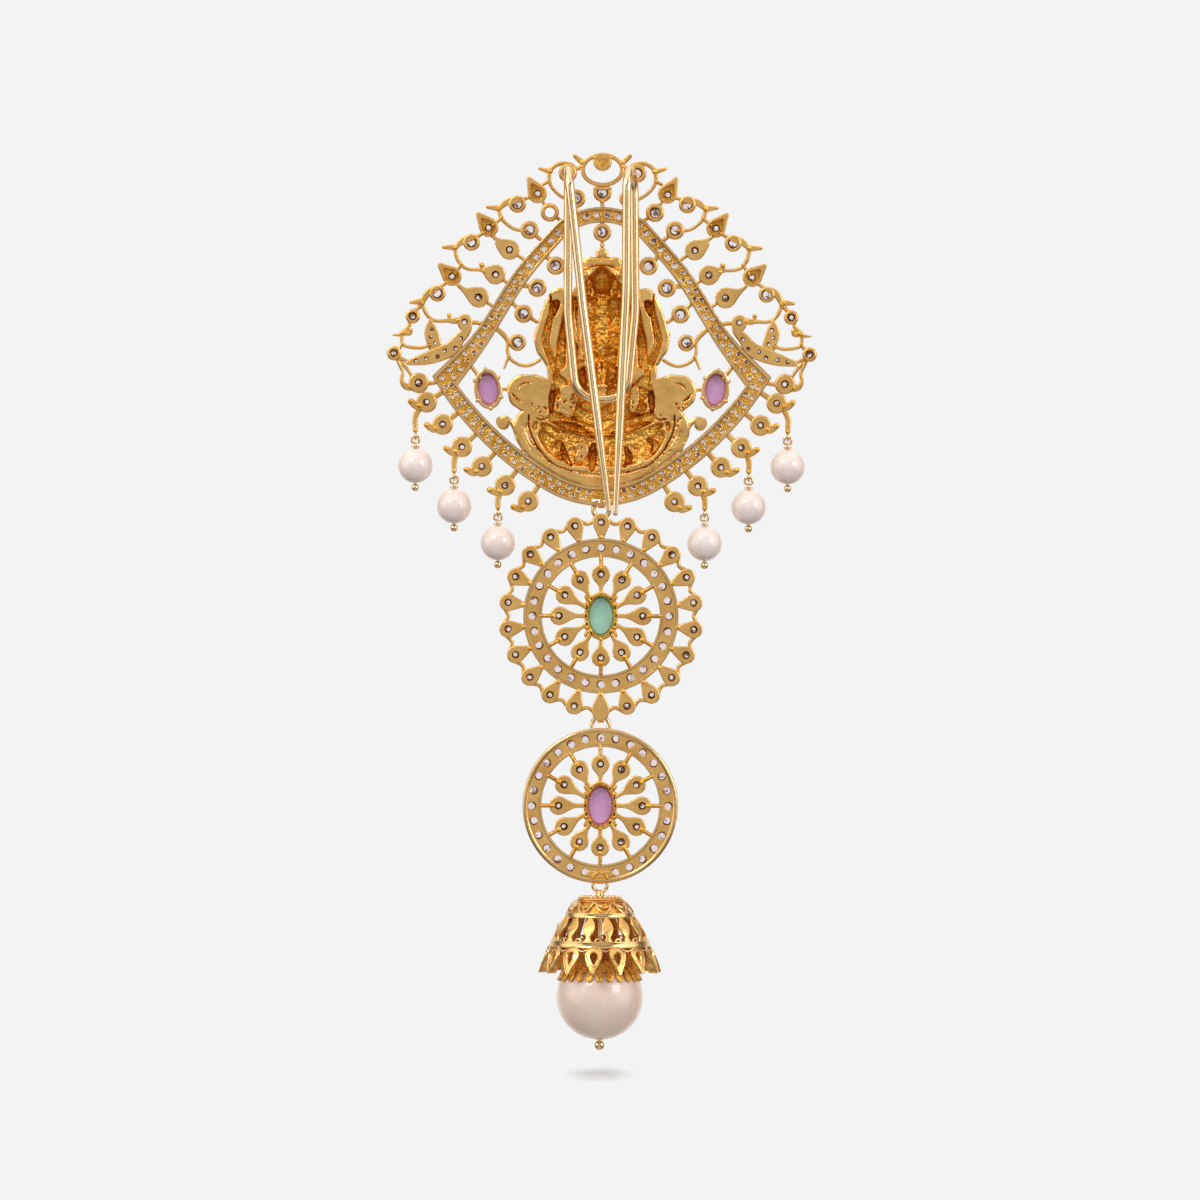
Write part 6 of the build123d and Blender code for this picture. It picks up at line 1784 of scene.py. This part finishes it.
def soften(field, passes):
    for _ in range(passes):
        field = (field * 2 + np.roll(field, 1, 0) + np.roll(field, -1, 0)
                 + np.roll(field, 1, 1) + np.roll(field, -1, 1)) / 6
    return field


def mirrored_ball(ball):
    return Ball(-ball.across, ball.up, ball.depth, ball.radius)


def figure_front(sheet, edge):
    front = np.full(sheet.x.shape, plate_back + figure_plate)
    limbs = list(middle_forms)
    for first, second in side_forms:
        limbs += [(first, second), (mirrored_ball(first), mirrored_ball(second))]
    for across in petal_places:
        depth = 0.58 - 0.25 * across ** 2
        limbs.append((Ball(across, 0.150, depth - 0.02, 0.108), Ball(across * 1.02, 0.222, depth, 0.02)))
    for across in low_petal_places:
        depth = 0.46 - 0.2 * across ** 2
        limbs.append((Ball(across, 0.085, depth, 0.10), Ball(across * 1.02, 0.045, depth - 0.04, 0.04)))
    for first, second in limbs:
        front = np.maximum(front, sheet.limb(first, second))
    front = soften(front, 3)
    for height, rows in front_lines.values():
        radius = max(row[2] for row in rows) * figure_half_width
        front = front + height * eased(-sheet.chain(rows) / radius + 0.3)
    for name, count, radius in front_beads:
        spine = smooth(front_lines[name][1], 12)
        for n in np.linspace(0, len(spine) - 1, count).astype(int):
            place = [(spine[n][0], spine[n][1], radius), (spine[n][0], spine[n][1] + 0.0003, radius)]
            front = front + 0.28 * np.sqrt(np.clip(-sheet.chain(place) / (radius * figure_half_width), 0, 1))
    return front - 0.3 * (1 - eased(-edge / 0.45)) * (front < plate_back + figure_plate + 0.6)


def figure_back(sheet, edge, front):
    """The hollowed back, rough where the casting was left as cast."""
    depth = np.zeros(sheet.x.shape)
    for table, both in ((hollows, True), (petal_pockets, False)):
        for deep, soft, rows in table.values():
            depth = np.maximum(depth, deep * eased(-sheet.chain(rows, both) / soft))
    for table, both in ((lumps, True), (petal_backs, False)):
        for height, soft, rows in table.values():
            depth = depth - np.minimum(height, depth * 0.9) * eased(-sheet.chain(rows, both) / soft)
    chance = np.random.default_rng(41)
    fine = soften(chance.normal(0, 1, sheet.x.shape), 3)
    broad = soften(chance.normal(0, 1, sheet.x.shape), 30)
    rough = eased(depth / 0.5)
    for deep, rows in pitted:
        pits = eased(fine / fine.std() - 0.75) * eased(-sheet.chain(rows, False) / 0.3 + 0.3)
        depth = depth + deep * pits
    depth = depth + rough * (fine / fine.std() * 0.07 + broad / broad.std() * 0.10)
    wavy = soften(chance.normal(0, 1, sheet.x.shape), 60)
    depth = depth + (1 - rough) * (0.04 + np.clip(wavy / wavy.std(), -1, 2) * 0.03)
    height, rows = ear_bumps
    swelling = height * np.sqrt(np.clip(-sheet.chain(rows) / (rows[0][2] * figure_half_width), 0, 1))
    back = plate_back + np.maximum(depth, 0) + 0.16 * (1 - eased(-edge / 0.3)) - swelling
    return np.minimum(back, front - figure_skin), rough


def make_figure():
    sheet = Sheet()
    edge = np.full(sheet.x.shape, 99.0)
    for rows in figure_rows.values():
        edge = np.minimum(edge, sheet.chain(rows))
    inner_band = [tuple(map(float, p)) for p in band_line(1)]
    edge = np.maximum(edge, sheet.loop(inner_band) - 0.06)
    front = figure_front(sheet, edge)
    back, rough = figure_back(sheet, edge, front)
    wavy = 0.09 * np.sin(sheet.x * 2.3 + 1) * np.sin(sheet.z * 2.1)
    edge = edge + wavy
    kept = edge < figure_step * 0.35
    cells = kept[:-1, :-1] & kept[1:, :-1] & kept[:-1, 1:] & kept[1:, 1:]
    rows, columns = np.nonzero(cells)
    corners = [(rows, columns), (rows, columns + 1), (rows + 1, columns + 1), (rows + 1, columns)]
    used = np.zeros(edge.shape, bool)
    shared = np.zeros(edge.shape, int)
    for corner in corners:
        used[corner] = True
        np.add.at(shared, corner, 1)
    rim = used & (shared < 4)
    slope_z, slope_x = np.gradient(edge, figure_step)
    steep = np.maximum(np.hypot(slope_x, slope_z), 0.5)
    x = np.where(rim, sheet.x - edge * slope_x / steep ** 2, sheet.x)
    z = np.where(rim, sheet.z - edge * slope_z / steep ** 2, sheet.z)
    count = int(used.sum())
    number = np.full(edge.shape, -1)
    number[used] = np.arange(count)
    points = np.vstack([np.stack([x[used], level[used], z[used]], 1) for level in (front, back)])
    quads = np.stack([number[corner] for corner in corners], 1)
    faces = quads.tolist() + (quads[:, ::-1] + count).tolist()
    rough_shaded_faces = [len(quads) + n for n in np.nonzero(rough[rows, columns] > 0.35)[0]]
    sides = {}
    for quad in quads.tolist():
        for a, b in zip(quad, quad[1:] + quad[:1]):
            if (b, a) in sides:
                del sides[(b, a)]
            else:
                sides[(a, b)] = True
    faces += [[b, a, a + count, b + count] for a, b in sides]
    figure = build("figure", [Form(points, faces)], cast_gold, "crest", ["crest_figure"], sharp=65)
    # The rough hollows of the back take the darker gold: painted shade over their cast roughness.
    figure.data.materials.append(painted_shade_gold)
    for n in rough_shaded_faces:
        figure.data.polygons[int(n)].material_index = 1


make_crest()
make_figure()
small_pearls()
make_medallion("1", "upper_medallion", (0, medallion_1_z), [], True, (link_1, link_2), pivot_heights[:2])
make_medallion("2", "lower_medallion", (0, medallion_2_z), [rim_stone_count // 2], False, (link_2, link_3),
               pivot_heights[1:])
oval_gem("medallion_1_gem", (0, medallion_1_z), medallion_oval_half, 0, green_gem, "upper_medallion",
         "medallion_1_oval")
oval_gem("medallion_2_gem", (0, medallion_2_z), medallion_oval_half, 0, lilac_gem, "lower_medallion",
         "medallion_2_oval")
make_bell()
make_big_pearl()


# Carried-over solids take their finish here


def finish_node(node, material):
    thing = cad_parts[node]
    thing.data.materials.clear()
    thing.data.materials.append(material)
    thing.data.shade_smooth()
    thing.data.set_sharp_from_angle(angle=math.radians(35))


finish_node("hair_fork", polished_gold)


# Floor, light and camera


def make_floor():
    """A grey floor just under the brooch, whose edge fades into the pale background in a long ellipse: it
    catches the brooch's own shadow, and its darker grey is a painted soft shadow.
    """
    height = cad_low.z - 3.2 * MM
    reach = 0.12
    mesh = bpy.data.meshes.new("floor")
    form = lathe([(reach / MM, 0), (0.001, 0)], (0, 0, 0), "Z", 96)
    mesh.from_pydata((form.points * MM).tolist(), [], form.faces)
    floor = bpy.data.objects.new("floor", mesh)
    bpy.context.scene.collection.objects.link(floor)
    floor.location.z = height
    material, tree, shader = node_tree("floor_painted_shadow")
    where = tree.nodes.new("ShaderNodeTexCoord")
    shadow_ellipse = add_node(tree, "ShaderNodeVectorMath", {0: where.outputs["Object"], 1: (4, 1, 1)})
    shadow_ellipse.operation = "MULTIPLY"
    far = add_node(tree, "ShaderNodeVectorMath", {0: shadow_ellipse.outputs["Vector"]})
    far.operation = "LENGTH"
    # The floor's grey, darker than the background and faded out by the alpha in a long ellipse, paints a soft
    # shadow under the brooch.
    set_inputs(tree, shader, {
        "Base Color": (0.66, 0.66, 0.66, 1),
        "Roughness": 0.9,
        "Specular IOR Level": 0.1,
        "Alpha": spread(tree, far.outputs["Value"], 1.0, 0.0, 0.003, 0.024, True),
    })
    mesh.materials.append(material)


def make_world():
    """A pale background, with softboxes and darker gaps round the brooch for the metal to mirror."""
    world = bpy.data.worlds.new("studio")
    bpy.context.scene.world = world
    world.use_nodes = True
    tree = world.node_tree
    for node in list(tree.nodes):
        tree.nodes.remove(node)
    where = tree.nodes.new("ShaderNodeTexCoord")
    # Direction, inner and outer angle in degrees, and strength added
    boxes = [
        ((0, 0, 1), 20, 62, 1.1),
        ((-1, -0.35, 0.35), 14, 40, 1.5),
        ((1, -0.35, 0.25), 14, 38, 1.4),
        ((0, -1, 0.05), 14, 34, 0.50),
        ((0, 1, 0), 30, 62, 0.75),
        ((0, -0.4, -1), 10, 44, 0.45),
    ]
    total = 0.16
    for direction, inner, outer, strength in boxes:
        dot = add_node(tree, "ShaderNodeVectorMath", {
            0: where.outputs["Generated"], 1: Vector(direction).normalized()})
        dot.operation = "DOT_PRODUCT"
        first, last = (math.cos(math.radians(angle)) for angle in (outer, inner))
        glow = spread(tree, dot.outputs["Value"], 0.0, strength, first, last, True)
        add = add_node(tree, "ShaderNodeMath", {0: glow, 1: total})
        add.operation = "ADD"
        total = add.outputs[0]
    light = add_node(tree, "ShaderNodeBackground", {"Color": (1.0, 0.985, 0.965, 1), "Strength": total})
    plain = add_node(tree, "ShaderNodeBackground", {"Color": (0.896, 0.896, 0.896, 1), "Strength": 1.0})
    path = tree.nodes.new("ShaderNodeLightPath")
    mix = add_node(tree, "ShaderNodeMixShader", {
        "Fac": path.outputs["Is Camera Ray"], 1: light.outputs[0], 2: plain.outputs[0]})
    add_node(tree, "ShaderNodeOutputWorld", {"Surface": mix.outputs[0]})


def add_light(name, place, size, power):
    """A soft square light aimed at the middle of the brooch."""
    data = bpy.data.lights.new(name, "AREA")
    data.shape = "SQUARE"
    data.size = size
    data.energy = power
    lamp = bpy.data.objects.new(name, data)
    bpy.context.scene.collection.objects.link(lamp)
    lamp.location = place
    aim = Vector((0, 0.005, -0.055)) - lamp.location
    lamp.rotation_mode = "QUATERNION"
    lamp.rotation_quaternion = aim.to_track_quat("-Z", "Y")


def make_camera():
    """The photograph's view: level and from far off, with its frame's middle below the crest."""
    distance = 1.2
    photo_size = 1200
    pixels_a_millimetre = 7
    sensor = 36
    data = bpy.data.cameras.new("camera")
    data.sensor_width = sensor
    data.lens = sensor * distance / (photo_size / pixels_a_millimetre * MM)
    camera = bpy.data.objects.new("camera", data)
    bpy.context.scene.collection.objects.link(camera)
    view_middle = (-0.143, -58.357)
    camera.location = (view_middle[0] * MM, -distance, view_middle[1] * MM)
    camera.rotation_euler = (math.radians(90), math.radians(-0.2), 0)
    bpy.context.scene.camera = camera


make_floor()
make_world()
add_light("key", (-0.5, -0.75, 0.65), 0.30, 3.0)
add_light("fill", (0.65, -0.6, 0.25), 0.35, 1.6)
make_camera()
bpy.context.scene.view_settings.view_transform = "Standard"
